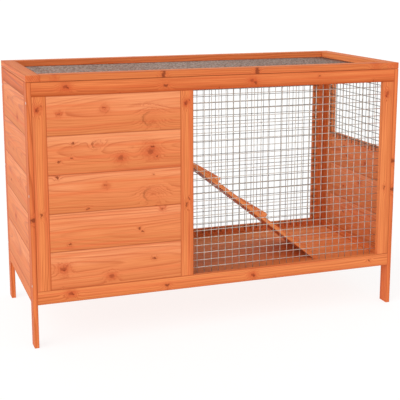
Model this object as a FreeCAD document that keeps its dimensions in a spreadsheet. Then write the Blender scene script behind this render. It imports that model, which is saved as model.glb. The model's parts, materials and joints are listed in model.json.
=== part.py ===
"""Two-level rabbit hutch: a softwood frame with plank and welded-mesh walls, a hinged mesh lid,
an upper deck with a hinged ramp, and a plank door at the back of the nest.

Frame: +X runs along the hutch from the nest to the run, -Y is the front, +Z is up.
The origin is on the ground, in the middle of the footprint. All sizes are in millimetres.
"""
import FreeCAD, Part
import os

import Sketcher

DRIVING_SIZES = [
    # alias, value, meaning
    ("overall_length", 1020, "end wall to end wall"),
    ("overall_depth", 430, "front wall to back wall"),
    ("overall_height", 690, "ground to the top of the lid"),
    ("board_thickness", 12, "every planed board of the walls, floor and deck"),
    ("edge_ease", 0.8, "chamfer on the edges of the boards"),
    ("leg_width", 35, "depth of a leg, which is also the post of its end wall"),
    ("leg_clearance", 113, "ground to the underside of the walls"),
    ("rail_width", 35, "rails and stiles of the walls and the lid"),
    ("nest_width", 342, "clear width between the stiles of the nest bay"),
    ("lid_thickness", 16.5, "rails of the lid"),
    ("lid_gap", 0.5, "gap between the lid and the walls it closes on"),
    ("door_gap", 2, "gap round the nest door"),
    ("ledge_inset", 30, "door ledge from the edges of the door"),
    ("ledge_width", 35, "battens behind the door planks"),
    ("wire_diameter", 1.8, "wire of the welded mesh"),
    ("mesh_pitch", 20, "wire to wire, both ways"),
    ("mesh_thickness", 3.4, "two crossing wires, pressed together in the weld"),
    ("mesh_overlap", 15, "mesh lapped over the inside of its frame"),
    ("deck_height", 455, "ground to the top of the deck"),
    ("deck_front_gap", 4, "deck to the front wall, where the mesh passes"),
    ("bearer_size", 19, "square battens under the deck"),
    ("ramp_width", 190, "across the ramp"),
    ("ramp_thickness", 10, "board of the ramp"),
    ("ramp_run", 412, "deck edge to the toe of the ramp, measured level"),
    ("ramp_offset", 90, "front edge of the ramp from the outside of the front wall"),
    ("ramp_gap", 0.8, "ramp to the edge of the deck, and toe to the floor"),
    ("cleat_height", 11, "climbing cleats above the ramp"),
    ("cleat_width", 14, "climbing cleats along the ramp"),
    ("first_cleat", 118, "top of the ramp to the first cleat, along the ramp"),
    ("cleat_spacing", 180, "cleat to cleat, along the ramp"),
    ("leaf_thickness", 1.5, "hinge leaves"),
    ("knuckle_radius", 3, "outside of the rolled hinge knuckles"),
    ("pin_radius", 1.5, "hinge pins"),
    ("pin_clearance", 0.08, "between a pin and the knuckle that turns on it"),
    ("knuckle_gap", 0.4, "end play between hinge knuckles"),
    ("lid_hinge_length", 60, "along the pin"),
    ("lid_hinge_inset", 150, "end of the hutch to the near end of a lid hinge"),
    ("lid_leaf_depth", 14, "lid hinge leaves away from the pin"),
    ("door_hinge_length", 50, "along the pin"),
    ("door_hinge_inset", 70, "top or bottom of the door to its hinge"),
    ("door_leaf_depth", 24, "door hinge leaves away from the pin"),
    ("ramp_hinge_length", 40, "along the pin"),
    ("ramp_hinge_inset", 20, "edge of the ramp to its hinge"),
    ("ramp_leaf_depth", 22, "ramp hinge leaves away from the pin"),
    ("button_length", 62, "turn button that holds the door"),
    ("button_width", 18, "turn button"),
    ("button_thickness", 7, "turn button"),
    ("button_gap", 0.4, "turn button to the wall and to its screw"),
    ("screw_radius", 2, "shanks of the wood screws"),
    ("screw_head_radius", 3.6, "heads of the wood screws"),
    ("screw_head_height", 0.6, "heads of the wood screws above the wood"),
    ("screw_length", 40, "wood screws of the corners"),
    ("corner_screw_inset", 50, "top or bottom of the walls to the end corner screws"),
]
PLANK_ROWS = 5
WINDOW_ROWS = 2
CORNER_SCREWS = 3
CLEATS = 3

os.makedirs("parts", exist_ok=True)
doc = FreeCAD.newDocument("rabbit_hutch")
sheet = doc.addObject("Spreadsheet::Sheet", "sizes")
for row, (alias, number, meaning) in enumerate(DRIVING_SIZES, start=1):
    sheet.set(f"A{row}", meaning)
    sheet.set(f"B{row}", str(number))
    sheet.setAlias(f"B{row}", alias)
doc.recompute()

SUB_PARTS = []


def size(alias):
    """Returns the expression that reads one driving size."""
    return f"sizes.{alias}"


def value(expression):
    """Returns the number that an expression over the sheet gives now."""
    return float(sheet.evalExpression(expression))


# Levels and stations that several pieces share, each worked out from the driving sizes.
BOARD = size("board_thickness")
RAIL = size("rail_width")
LEFT = f"(-{size('overall_length')} / 2)"
RIGHT = f"({size('overall_length')} / 2)"
FRONT = f"(-{size('overall_depth')} / 2)"
BACK = f"({size('overall_depth')} / 2)"
INNER_LEFT = f"({LEFT} + {BOARD})"
INNER_RIGHT = f"({RIGHT} - {BOARD})"
INNER_FRONT = f"({FRONT} + {BOARD})"
INNER_BACK = f"({BACK} - {BOARD})"
POST_FRONT = f"({FRONT} + {size('leg_width')})"
POST_BACK = f"({BACK} - {size('leg_width')})"
NEST_LEFT = f"({INNER_LEFT} + {RAIL})"
NEST_RIGHT = f"({NEST_LEFT} + {size('nest_width')})"
RUN_LEFT = f"({NEST_RIGHT} + {RAIL})"
RUN_RIGHT = f"({INNER_RIGHT} - {RAIL})"
WALL_BOTTOM = size("leg_clearance")
BAY_BOTTOM = f"({WALL_BOTTOM} + {RAIL})"
LID_BOTTOM = f"({size('overall_height')} - {size('lid_thickness')})"
WALL_TOP = f"({LID_BOTTOM} - {size('lid_gap')})"
BAY_TOP = f"({WALL_TOP} - {RAIL})"
PLANK_HEIGHT = f"(({BAY_TOP} - {BAY_BOTTOM}) / {PLANK_ROWS})"
WINDOW_BOTTOM = f"({BAY_TOP} - {WINDOW_ROWS} * {PLANK_HEIGHT})"
FLOOR_TOP = f"({WALL_BOTTOM} + {BOARD})"
DECK_TOP = size("deck_height")
DECK_BOTTOM = f"({DECK_TOP} - {BOARD})"


def add_sub_part(obj, label):
    """Gives a finished object its label and lists it for export."""
    obj.Label = label
    SUB_PARTS.append(obj)
    return obj


def place(obj, x, y, z, rotation=None):
    """Binds an object's position to expressions and sets its rotation."""
    if rotation is not None:
        obj.Placement = FreeCAD.Placement(FreeCAD.Vector(), rotation)
    for axis, expression in zip("xyz", (x, y, z)):
        obj.setExpression(f"Placement.Base.{axis}", expression)


def origin_plane(body, role):
    """Returns one of a body's own origin planes."""
    return next(item for item in body.Origin.OriginFeatures if item.Role == role)


def new_sketch(body, role, name):
    """Adds an empty sketch on one of the body's own origin planes."""
    sketch = body.newObject("Sketcher::SketchObject", name)
    sketch.AttachmentSupport = [(origin_plane(body, role), "")]
    sketch.MapMode = "FlatFace"
    return sketch


def draw_rectangle(sketch, width, height):
    """Draws a rectangle from the sketch's origin, with both sizes bound to expressions."""
    corners = [(0, 0), (1, 0), (1, 1), (0, 1)]
    points = [FreeCAD.Vector(value(width) * i, value(height) * j, 0) for i, j in corners]
    for start, end in zip(points, points[1:] + points[:1]):
        sketch.addGeometry(Part.LineSegment(start, end))
    for edge in range(4):
        sketch.addConstraint(Sketcher.Constraint("Coincident", edge, 2, (edge + 1) % 4, 1))
    for edge, kind in enumerate(("Horizontal", "Vertical", "Horizontal", "Vertical")):
        sketch.addConstraint(Sketcher.Constraint(kind, edge))
    sketch.addConstraint(Sketcher.Constraint("Coincident", 0, 1, -1, 1))
    width_index = sketch.addConstraint(
        Sketcher.Constraint("DistanceX", 0, 1, 0, 2, value(width)))
    sketch.renameConstraint(width_index, "width")
    height_index = sketch.addConstraint(
        Sketcher.Constraint("DistanceY", 1, 1, 1, 2, value(height)))
    sketch.renameConstraint(height_index, "height")
    sketch.setExpression("Constraints.width", width)
    sketch.setExpression("Constraints.height", height)


def board_body(label, x_span, y_span, z_span):
    """Makes a planed board with eased edges between two expressions along each axis."""
    width, depth, height = (f"({high} - {low})" for low, high in (x_span, y_span, z_span))
    body = doc.addObject("PartDesign::Body", label)
    sketch = new_sketch(body, "XY_Plane", f"{label}_section")
    draw_rectangle(sketch, width, depth)
    pad = body.newObject("PartDesign::Pad", f"{label}_pad")
    pad.Profile = sketch
    pad.setExpression("Length", height)
    doc.recompute()
    chamfer = body.newObject("PartDesign::Chamfer", f"{label}_eased")
    chamfer.Base = (pad, ["Edge1"])
    chamfer.UseAllEdges = True
    chamfer.setExpression("Size", size("edge_ease"))
    place(body, x_span[0], y_span[0], z_span[0])
    return body


def board(label, x_span, y_span, z_span):
    """Makes a board that is a sub-part of its own."""
    return add_sub_part(board_body(label, x_span, y_span, z_span), label)


def group(label, items):
    """Makes one sub-part of separate solids that are alike."""
    compound = doc.addObject("Part::Compound", label)
    compound.Links = items
    return add_sub_part(compound, label)


def plank_span(row):
    """Returns the bottom and top of one row of wall planks, counted from the bottom rail."""
    return (f"({BAY_BOTTOM} + {row} * {PLANK_HEIGHT})",
            f"({BAY_BOTTOM} + {row + 1} * {PLANK_HEIGHT})")


def welded_mesh(label, across, up, normal_start, normal_axis):
    """Makes a flat sheet of welded mesh, lapped over the frame round an opening.

    across and up are the opening's two spans; the wires stand centred in the opening.
    The sheet is mesh_thickness thick from normal_start along the normal axis.
    """
    pitch, wire = value(size("mesh_pitch")), value(size("wire_diameter"))
    overlap, thickness = value(size("mesh_overlap")), value(size("mesh_thickness"))
    sheet_low, sheet_high, stations = [], [], []
    for span in (across, up):
        low, high = value(span[0]), value(span[1])
        cells = int((high - low) / pitch) + 1
        first = (low + high - cells * pitch) / 2
        sheet_low.append(low - overlap)
        sheet_high.append(high + overlap)
        stations.append([first + pitch * index for index in range(cells + 1)])
    axes = {"X": (1, 2), "Y": (0, 2), "Z": (0, 1)}[normal_axis]
    normal = "XYZ".index(normal_axis)

    def corner(a, b):
        point = [0.0, 0.0, 0.0]
        point[axes[0]], point[axes[1]] = a, b
        return FreeCAD.Vector(*point)

    def rectangle(a_low, a_high, b_low, b_high):
        return [corner(a_low, b_low), corner(a_high, b_low), corner(a_high, b_high),
                corner(a_low, b_high), corner(a_low, b_low)]

    outline = rectangle(sheet_low[0], sheet_high[0], sheet_low[1], sheet_high[1])
    holes = []
    for a, a_next in zip(stations[0], stations[0][1:]):
        for b, b_next in zip(stations[1], stations[1][1:]):
            hole = rectangle(a + wire / 2, a_next - wire / 2, b + wire / 2, b_next - wire / 2)
            holes.append(Part.makePolygon(hole[::-1]))
    face = Part.Face([Part.makePolygon(outline)] + holes)
    direction = [0.0, 0.0, 0.0]
    direction[normal] = thickness
    feature = doc.addObject("Part::Feature", label)
    feature.Shape = face.extrude(FreeCAD.Vector(*direction))
    offset = [0.0, 0.0, 0.0]
    offset[normal] = value(normal_start)
    feature.Placement = FreeCAD.Placement(FreeCAD.Vector(*offset), FreeCAD.Rotation())
    return add_sub_part(feature, label)


def box(name, length, width, height, x, y, z):
    """Adds a Part::Box with its sizes and corner bound to expressions."""
    item = doc.addObject("Part::Box", name)
    item.setExpression("Length", length)
    item.setExpression("Width", width)
    item.setExpression("Height", height)
    place(item, x, y, z)
    return item


def cylinder(name, radius, height, x, y, z, rotation=None):
    """Adds a Part::Cylinder with its sizes and base bound to expressions."""
    item = doc.addObject("Part::Cylinder", name)
    item.setExpression("Radius", radius)
    item.setExpression("Height", height)
    place(item, x, y, z, rotation)
    return item


def fuse(name, items):
    """Joins items into one object."""
    result = doc.addObject("Part::MultiFuse", name)
    result.Shapes = items
    return result


def cut(name, base, tool):
    """Takes one item out of another."""
    result = doc.addObject("Part::Cut", name)
    result.Base = base
    result.Tool = tool
    return result


def half_hinge(name, hinge_length, leaf_depth, side, carries_pin, start):
    """Makes one half of a butt hinge in its pin's frame, from start along the pin.

    The pin runs along Z, and the surface that the leaf lies on faces +Y, a knuckle's radius
    from the pin. The leaf goes towards +X or -X, as side says. The half that carries the pin
    has the two end knuckles, and the other has the middle one, bored to turn on the pin.
    """
    radius, leaf, gap = size("knuckle_radius"), size("leaf_thickness"), size("knuckle_gap")
    third = f"({hinge_length} / 3)"
    root_depth = f"({radius} + {gap})"
    if carries_pin:
        knuckles = [("0", third), (f"(2 * {third})", third)]
    else:
        knuckles = [(f"({third} + {gap})", f"({third} - 2 * {gap})")]
    plate_depth = f"({leaf_depth} - {root_depth})"
    plate_x = root_depth if side > 0 else f"(-{leaf_depth})"
    tongue_x = "0" if side > 0 else f"(-{root_depth})"
    pieces = [box(f"{name}_plate", plate_depth, leaf, hinge_length, plate_x, f"(-{radius})", "0")]
    for index, (low, span) in enumerate(knuckles):
        pieces.append(cylinder(f"{name}_knuckle_{index}", radius, span, "0", "0", low))
        pieces.append(box(f"{name}_tongue_{index}", root_depth, leaf, span,
                          tongue_x, f"(-{radius})", low))
    if carries_pin:
        pieces.append(cylinder(f"{name}_pin", size("pin_radius"), hinge_length, "0", "0", "0"))
        half = fuse(f"{name}_half", pieces)
    else:
        bore_radius = f"({size('pin_radius')} + {size('pin_clearance')})"
        bore = cylinder(f"{name}_bore", bore_radius, hinge_length, "0", "0", "0")
        half = cut(f"{name}_half", fuse(f"{name}_solid", pieces), bore)
    place(half, "0", "0", start)
    return half


def hinge_pair(label, hinge_length, leaf_depth, side, carries_pin, starts, pin_point, frame):
    """Makes the same half of two hinges on one pin line, as one sub-part."""
    halves = [half_hinge(f"{label}_{index}", hinge_length, leaf_depth, side, carries_pin, start)
              for index, start in enumerate(starts)]
    pair = group(label, halves)
    place(pair, *pin_point, frame)
    return pair


def wood_screw(name, x, y, z, rotation, head_height, shank_length):
    """Makes a wood screw whose head stands on a surface at its origin, driven along its -Z."""
    head = cylinder(f"{name}_head", size("screw_head_radius"), head_height, "0", "0", "0")
    shank = cylinder(f"{name}_shank", size("screw_radius"), shank_length,
                     "0", "0", f"(-{shank_length})")
    screw = fuse(name, [head, shank])
    place(screw, x, y, z, rotation)
    return screw


# ---------------------------------------------------------------- legs
for side, x_span in (("left", (LEFT, INNER_LEFT)), ("right", (INNER_RIGHT, RIGHT))):
    board(f"leg_front_{side}", x_span, (FRONT, POST_FRONT), ("0", WALL_TOP))
    board(f"leg_back_{side}", x_span, (POST_BACK, BACK), ("0", WALL_TOP))

# ---------------------------------------------------------------- front and back walls
for wall, y_span in (("front", (FRONT, INNER_FRONT)), ("back", (INNER_BACK, BACK))):
    board(f"{wall}_bottom_rail", (INNER_LEFT, INNER_RIGHT), y_span, (WALL_BOTTOM, BAY_BOTTOM))
    board(f"{wall}_top_rail", (INNER_LEFT, INNER_RIGHT), y_span, (BAY_TOP, WALL_TOP))
    for stile, x_span in (("left", (INNER_LEFT, NEST_LEFT)), ("middle", (NEST_RIGHT, RUN_LEFT)),
                          ("right", (RUN_RIGHT, INNER_RIGHT))):
        board(f"{wall}_{stile}_stile", x_span, y_span, (BAY_BOTTOM, BAY_TOP))
for row in range(PLANK_ROWS):
    board(f"front_plank_{row + 1}", (NEST_LEFT, NEST_RIGHT), (FRONT, INNER_FRONT),
          plank_span(row))
welded_mesh("front_mesh", (RUN_LEFT, RUN_RIGHT), (BAY_BOTTOM, BAY_TOP), INNER_FRONT, "Y")
welded_mesh("back_mesh", (RUN_LEFT, RUN_RIGHT), (BAY_BOTTOM, BAY_TOP),
            f"({INNER_BACK} - {size('mesh_thickness')})", "Y")

# ---------------------------------------------------------------- end walls
for wall, x_span in (("left", (LEFT, INNER_LEFT)), ("right", (INNER_RIGHT, RIGHT))):
    board(f"{wall}_bottom_rail", x_span, (POST_FRONT, POST_BACK), (WALL_BOTTOM, BAY_BOTTOM))
    board(f"{wall}_top_rail", x_span, (POST_FRONT, POST_BACK), (BAY_TOP, WALL_TOP))
for row in range(PLANK_ROWS):
    board(f"left_plank_{row + 1}", (LEFT, INNER_LEFT), (POST_FRONT, POST_BACK), plank_span(row))
WINDOW_FRONT = f"({POST_FRONT} + {RAIL})"
WINDOW_BACK = f"({POST_BACK} - {RAIL})"
board("right_front_stile", (INNER_RIGHT, RIGHT), (POST_FRONT, WINDOW_FRONT),
      (BAY_BOTTOM, BAY_TOP))
board("right_back_stile", (INNER_RIGHT, RIGHT), (WINDOW_BACK, POST_BACK), (BAY_BOTTOM, BAY_TOP))
for row in range(PLANK_ROWS - WINDOW_ROWS):
    board(f"right_plank_{row + 1}", (INNER_RIGHT, RIGHT), (WINDOW_FRONT, WINDOW_BACK),
          plank_span(row))
welded_mesh("right_mesh", (WINDOW_FRONT, WINDOW_BACK), (WINDOW_BOTTOM, BAY_TOP),
            f"({INNER_RIGHT} - {size('mesh_thickness')})", "X")

# ---------------------------------------------------------------- floor and upper deck
board("floor_panel", (INNER_LEFT, INNER_RIGHT), (INNER_FRONT, INNER_BACK),
      (WALL_BOTTOM, FLOOR_TOP))
LEDGE_FRONT = f"({INNER_BACK} - {BOARD})"
DECK_FRONT = f"({INNER_FRONT} + {size('deck_front_gap')})"
DECK_BACK = f"({LEDGE_FRONT} - {size('deck_front_gap')})"
board("deck_panel", (INNER_LEFT, RUN_LEFT), (DECK_FRONT, DECK_BACK), (DECK_BOTTOM, DECK_TOP))
BEARER_SPAN = (f"({DECK_BOTTOM} - {size('bearer_size')})", DECK_BOTTOM)
bearers = [board_body(f"bearer_{index}", (low, f"({low} + {size('bearer_size')})"),
                      (INNER_FRONT, INNER_BACK), BEARER_SPAN)
           for index, low in enumerate((INNER_LEFT, NEST_RIGHT))]
group("deck_bearers", bearers)

# ---------------------------------------------------------------- nest door in the back wall
DOOR_LEFT = f"({NEST_LEFT} + {size('door_gap')})"
DOOR_RIGHT = f"({NEST_RIGHT} - {size('door_gap')})"
DOOR_BOTTOM = f"({BAY_BOTTOM} + {size('door_gap')})"
DOOR_TOP = f"({BAY_TOP} - {size('door_gap')})"
DOOR_PLANK = f"(({DOOR_TOP} - {DOOR_BOTTOM}) / {PLANK_ROWS})"
for row in range(PLANK_ROWS):
    board(f"door_plank_{row + 1}", (DOOR_LEFT, DOOR_RIGHT), (INNER_BACK, BACK),
          (f"({DOOR_BOTTOM} + {row} * {DOOR_PLANK})",
           f"({DOOR_BOTTOM} + {row + 1} * {DOOR_PLANK})"))
LEDGE_INSET = size("ledge_inset")
LEDGE_WIDTH = size("ledge_width")
ledge_spans = ((f"({DOOR_LEFT} + {LEDGE_INSET})", f"({DOOR_LEFT} + {LEDGE_INSET} + {LEDGE_WIDTH})"),
               (f"({DOOR_RIGHT} - {LEDGE_INSET} - {LEDGE_WIDTH})", f"({DOOR_RIGHT} - {LEDGE_INSET})"))
ledges = [board_body(f"ledge_{index}", x_span, (LEDGE_FRONT, INNER_BACK),
                     (f"({DOOR_BOTTOM} + {LEDGE_INSET})", f"({DOOR_TOP} - {LEDGE_INSET})"))
          for index, x_span in enumerate(ledge_spans)]
group("door_ledges", ledges)

DOOR_PIN = (f"({NEST_LEFT} + {size('door_gap')} / 2)", f"({BACK} + {size('knuckle_radius')})", "0")
DOOR_FRAME = FreeCAD.Rotation()
door_starts = (f"({DOOR_BOTTOM} + {size('door_hinge_inset')})",
               f"({DOOR_TOP} - {size('door_hinge_inset')} - {size('door_hinge_length')})")
for label, side, carries_pin in (("door_hinge_frame_leaves", -1, True),
                                 ("door_hinge_door_leaves", 1, False)):
    hinge_pair(label, size("door_hinge_length"), size("door_leaf_depth"), side, carries_pin,
               door_starts, DOOR_PIN, DOOR_FRAME)

BUTTON_X = f"(({NEST_RIGHT} + {RUN_LEFT}) / 2)"
BUTTON_Z = f"(({BAY_BOTTOM} + {BAY_TOP}) / 2)"
BUTTON_INSIDE = f"({BACK} + {size('button_gap')})"
BUTTON_OUTSIDE = f"({BUTTON_INSIDE} + {size('button_thickness')})"
button_blank = board_body(
    "button_blank",
    (f"({BUTTON_X} - {size('button_width')} / 2)", f"({BUTTON_X} + {size('button_width')} / 2)"),
    (BUTTON_INSIDE, BUTTON_OUTSIDE),
    (f"({BUTTON_Z} - {size('button_length')} / 2)", f"({BUTTON_Z} + {size('button_length')} / 2)"))
AWAY_FROM_BACK = FreeCAD.Rotation(FreeCAD.Vector(1, 0, 0), -90)
button_hole = cylinder("button_hole", f"({size('screw_radius')} + {size('button_gap')})",
                       f"(2 * {size('button_thickness')})", BUTTON_X, BACK, BUTTON_Z,
                       AWAY_FROM_BACK)
add_sub_part(cut("turn_button", button_blank, button_hole), "turn_button")

# ---------------------------------------------------------------- ramp
RISE = f"({DECK_TOP} - {FLOOR_TOP})"
SLOPE = f"atan({RISE} / {size('ramp_run')})"
RAMP_GAP = size("ramp_gap")
RAMP_TOP_X = f"({RUN_LEFT} + {RAMP_GAP})"
TOE_Z = f"({FLOOR_TOP} + {RAMP_GAP})"
RAMP_FRONT = f"({FRONT} + {size('ramp_offset')})"
RAMP_BACK = f"({RAMP_FRONT} + {size('ramp_width')})"
UPPER_HEIGHT = f"({RISE} - {RAMP_GAP} - {RAMP_GAP} * tan({SLOPE}))"
LOWER_HEIGHT = f"({UPPER_HEIGHT} - {size('ramp_thickness')} / cos({SLOPE}))"
ramp = doc.addObject("PartDesign::Body", "ramp_board")
ramp_section = new_sketch(ramp, "XZ_Plane", "ramp_section")
ramp_corners = {"top": (0, value(UPPER_HEIGHT)), "toe": (value(f"{UPPER_HEIGHT} / tan({SLOPE})"), 0),
                "heel": (value(f"{LOWER_HEIGHT} / tan({SLOPE})"), 0), "under": (0, value(LOWER_HEIGHT))}
ramp_points = [FreeCAD.Vector(x, y, 0) for x, y in ramp_corners.values()]
for begin, finish in zip(ramp_points, ramp_points[1:] + ramp_points[:1]):
    ramp_section.addGeometry(Part.LineSegment(begin, finish))
for edge in range(4):
    ramp_section.addConstraint(Sketcher.Constraint("Coincident", edge, 2, (edge + 1) % 4, 1))
for edge in (0, 3):
    ramp_section.addConstraint(Sketcher.Constraint("PointOnObject", edge, 1, -2))
for edge in (1, 2):
    ramp_section.addConstraint(Sketcher.Constraint("PointOnObject", edge, 1, -1))
for name, kind, edge, expression in (
        ("upper_height", "DistanceY", 0, UPPER_HEIGHT),
        ("toe_reach", "DistanceX", 1, f"{UPPER_HEIGHT} / tan({SLOPE})"),
        ("heel_reach", "DistanceX", 2, f"{LOWER_HEIGHT} / tan({SLOPE})"),
        ("lower_height", "DistanceY", 3, LOWER_HEIGHT)):
    number = ramp_section.addConstraint(
        Sketcher.Constraint(kind, -1, 1, edge, 1, value(expression)))
    ramp_section.renameConstraint(number, name)
    ramp_section.setExpression(f"Constraints.{name}", expression)
ramp_pad = ramp.newObject("PartDesign::Pad", "ramp_pad")
ramp_pad.Profile = ramp_section
ramp_pad.setExpression("Length", size("ramp_width"))
place(ramp, RAMP_TOP_X, RAMP_BACK, TOE_Z)
add_sub_part(ramp, "ramp_board")

cleats = []
for index in range(CLEATS):
    along = f"({size('first_cleat')} + {index} * {size('cleat_spacing')})"
    cleat = board_body(f"cleat_{index}", ("0", size("cleat_width")), ("0", size("ramp_width")),
                       ("0", size("cleat_height")))
    place(cleat, f"({RUN_LEFT} + {along} * cos({SLOPE}))", RAMP_FRONT,
          f"({DECK_TOP} - {along} * sin({SLOPE}))", FreeCAD.Rotation(FreeCAD.Vector(0, 1, 0), 1))
    cleat.setExpression("Placement.Rotation.Angle", SLOPE)
    cleats.append(cleat)
group("ramp_cleats", cleats)

# The planes of the deck and of the ramp meet at the deck's edge, and the knuckles touch both.
RAMP_PIN_X = f"({RUN_LEFT} + {size('knuckle_radius')} * tan({SLOPE} / 2))"
RAMP_PIN_Z = f"({DECK_TOP} + {size('knuckle_radius')})"
RAMP_FRAME = FreeCAD.Rotation(FreeCAD.Vector(-1, 0, 0), FreeCAD.Vector(0, 0, 1),
                              FreeCAD.Vector(0, 1, 0))
ramp_starts = (f"({RAMP_FRONT} + {size('ramp_hinge_inset')})",
               f"({RAMP_BACK} - {size('ramp_hinge_inset')} - {size('ramp_hinge_length')})")
hinge_pair("ramp_hinge_deck_leaves", size("ramp_hinge_length"), size("ramp_leaf_depth"), 1, True,
           ramp_starts, (RAMP_PIN_X, "0", RAMP_PIN_Z), RAMP_FRAME)
ramp_halves = [half_hinge(f"ramp_leaf_{index}", size("ramp_hinge_length"), size("ramp_leaf_depth"),
                          -1, False, start) for index, start in enumerate(ramp_starts)]
level_leaves = doc.addObject("Part::Compound", "level_leaves")
level_leaves.Links = ramp_halves
level_leaves.Placement = FreeCAD.Placement(FreeCAD.Vector(), RAMP_FRAME)
ramp_leaves = group("ramp_hinge_ramp_leaves", [level_leaves])
place(ramp_leaves, RAMP_PIN_X, "0", RAMP_PIN_Z, FreeCAD.Rotation(FreeCAD.Vector(0, 1, 0), 1))
ramp_leaves.setExpression("Placement.Rotation.Angle", SLOPE)

# ---------------------------------------------------------------- lid
LID_SPAN = (LID_BOTTOM, size("overall_height"))
LID_INNER_LEFT = f"({LEFT} + {RAIL})"
LID_INNER_RIGHT = f"({RIGHT} - {RAIL})"
LID_INNER_FRONT = f"({FRONT} + {RAIL})"
LID_INNER_BACK = f"({BACK} - {RAIL})"
board("lid_left_rail", (LEFT, LID_INNER_LEFT), (FRONT, BACK), LID_SPAN)
board("lid_right_rail", (LID_INNER_RIGHT, RIGHT), (FRONT, BACK), LID_SPAN)
board("lid_front_rail", (LID_INNER_LEFT, LID_INNER_RIGHT), (FRONT, LID_INNER_FRONT), LID_SPAN)
board("lid_back_rail", (LID_INNER_LEFT, LID_INNER_RIGHT), (LID_INNER_BACK, BACK), LID_SPAN)
welded_mesh("lid_mesh", (LID_INNER_LEFT, LID_INNER_RIGHT), (LID_INNER_FRONT, LID_INNER_BACK),
            f"({LID_BOTTOM} - {size('mesh_thickness')})", "Z")

LID_PIN = ("0", f"({BACK} + {size('knuckle_radius')})", f"({LID_BOTTOM} - {size('lid_gap')} / 2)")
LID_FRAME = FreeCAD.Rotation(FreeCAD.Vector(0, 0, -1), FreeCAD.Vector(0, 1, 0),
                             FreeCAD.Vector(1, 0, 0))
lid_starts = (f"({LEFT} + {size('lid_hinge_inset')})",
              f"({RIGHT} - {size('lid_hinge_inset')} - {size('lid_hinge_length')})")
for label, side, carries_pin in (("lid_hinge_wall_leaves", 1, True),
                                 ("lid_hinge_lid_leaves", -1, False)):
    hinge_pair(label, size("lid_hinge_length"), size("lid_leaf_depth"), side, carries_pin,
               lid_starts, LID_PIN, LID_FRAME)

# ---------------------------------------------------------------- wood screws
AWAY_FROM_LEFT = FreeCAD.Rotation(FreeCAD.Vector(0, 1, 0), -90)
AWAY_FROM_RIGHT = FreeCAD.Rotation(FreeCAD.Vector(0, 1, 0), 90)
LOWEST_SCREW = f"({WALL_BOTTOM} + {size('corner_screw_inset')})"
HIGHEST_SCREW = f"({WALL_TOP} - {size('corner_screw_inset')})"
SCREW_STEP = f"(({HIGHEST_SCREW} - {LOWEST_SCREW}) / {CORNER_SCREWS - 1})"
screws = []
for x, rotation in ((LEFT, AWAY_FROM_LEFT), (RIGHT, AWAY_FROM_RIGHT)):
    for y in (f"({FRONT} + {BOARD} / 2)", f"({BACK} - {BOARD} / 2)"):
        for index in range(CORNER_SCREWS):
            screws.append(wood_screw(f"corner_screw_{len(screws)}", x, y,
                                     f"({LOWEST_SCREW} + {index} * {SCREW_STEP})", rotation,
                                     size("screw_head_height"), size("screw_length")))
screws.append(wood_screw("button_screw", BUTTON_X, f"({BUTTON_OUTSIDE} + {size('button_gap')})",
                         BUTTON_Z, AWAY_FROM_BACK, size("screw_head_height"),
                         f"({size('button_thickness')} + {BOARD})"))
group("wood_screws", screws)

# ---------------------------------------------------------------- checks and export
doc.recompute()
for obj in doc.Objects:
    if {"Invalid", "Error"} & set(obj.State):
        raise RuntimeError(f"{obj.Label} failed: {obj.State}")
for part in SUB_PARTS:
    if part.Shape.isNull() or not part.Shape.isValid():
        raise RuntimeError(f"{part.Label} has no valid shape")
for part in SUB_PARTS:
    part.Shape.exportStep(f"parts/{part.Label}.step")
print(len(SUB_PARTS), "sub-parts written")
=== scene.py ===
"""Looks of a rabbit hutch: stained fir boards, welded mesh, zinc fittings and a plain studio.

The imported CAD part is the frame. Its boards and hinges keep their shapes and get their
finishes here. The mesh sheets, the wood screws and the turn button are modelled here and
stand for their CAD nodes, and the staples and hinge screws are added.
"""

import json
import logging
import math
import random
from collections.abc import Callable, Sequence
from dataclasses import dataclass, field
from enum import Enum

import bmesh
import bpy
from mathutils import Matrix, Vector


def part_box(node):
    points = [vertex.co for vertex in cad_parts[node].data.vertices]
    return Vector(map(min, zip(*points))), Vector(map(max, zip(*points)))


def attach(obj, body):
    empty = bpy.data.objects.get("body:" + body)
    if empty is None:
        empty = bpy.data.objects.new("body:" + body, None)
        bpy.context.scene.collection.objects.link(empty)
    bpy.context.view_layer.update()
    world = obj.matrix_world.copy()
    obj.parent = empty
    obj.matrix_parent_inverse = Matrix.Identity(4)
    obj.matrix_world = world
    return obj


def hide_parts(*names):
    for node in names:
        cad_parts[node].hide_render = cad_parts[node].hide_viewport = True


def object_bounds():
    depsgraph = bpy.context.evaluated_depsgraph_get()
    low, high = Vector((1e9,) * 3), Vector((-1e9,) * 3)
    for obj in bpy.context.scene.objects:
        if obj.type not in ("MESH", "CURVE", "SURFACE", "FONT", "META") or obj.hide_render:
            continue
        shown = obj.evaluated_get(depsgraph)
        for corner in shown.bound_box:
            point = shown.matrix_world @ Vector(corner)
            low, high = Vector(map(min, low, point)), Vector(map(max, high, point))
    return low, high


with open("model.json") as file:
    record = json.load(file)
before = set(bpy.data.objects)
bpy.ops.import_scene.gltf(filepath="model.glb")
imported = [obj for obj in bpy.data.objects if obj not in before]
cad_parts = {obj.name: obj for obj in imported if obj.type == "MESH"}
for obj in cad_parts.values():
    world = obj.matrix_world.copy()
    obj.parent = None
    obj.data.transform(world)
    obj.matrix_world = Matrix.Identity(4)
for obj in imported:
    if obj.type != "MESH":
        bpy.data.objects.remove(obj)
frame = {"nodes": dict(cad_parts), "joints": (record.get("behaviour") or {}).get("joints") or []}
CAD_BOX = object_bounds()

MM = 0.001
log = logging.getLogger("rabbit_hutch")

Colour = tuple[float, float, float, float]
Tree = bpy.types.NodeTree
Socket = bpy.types.NodeSocket


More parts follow.
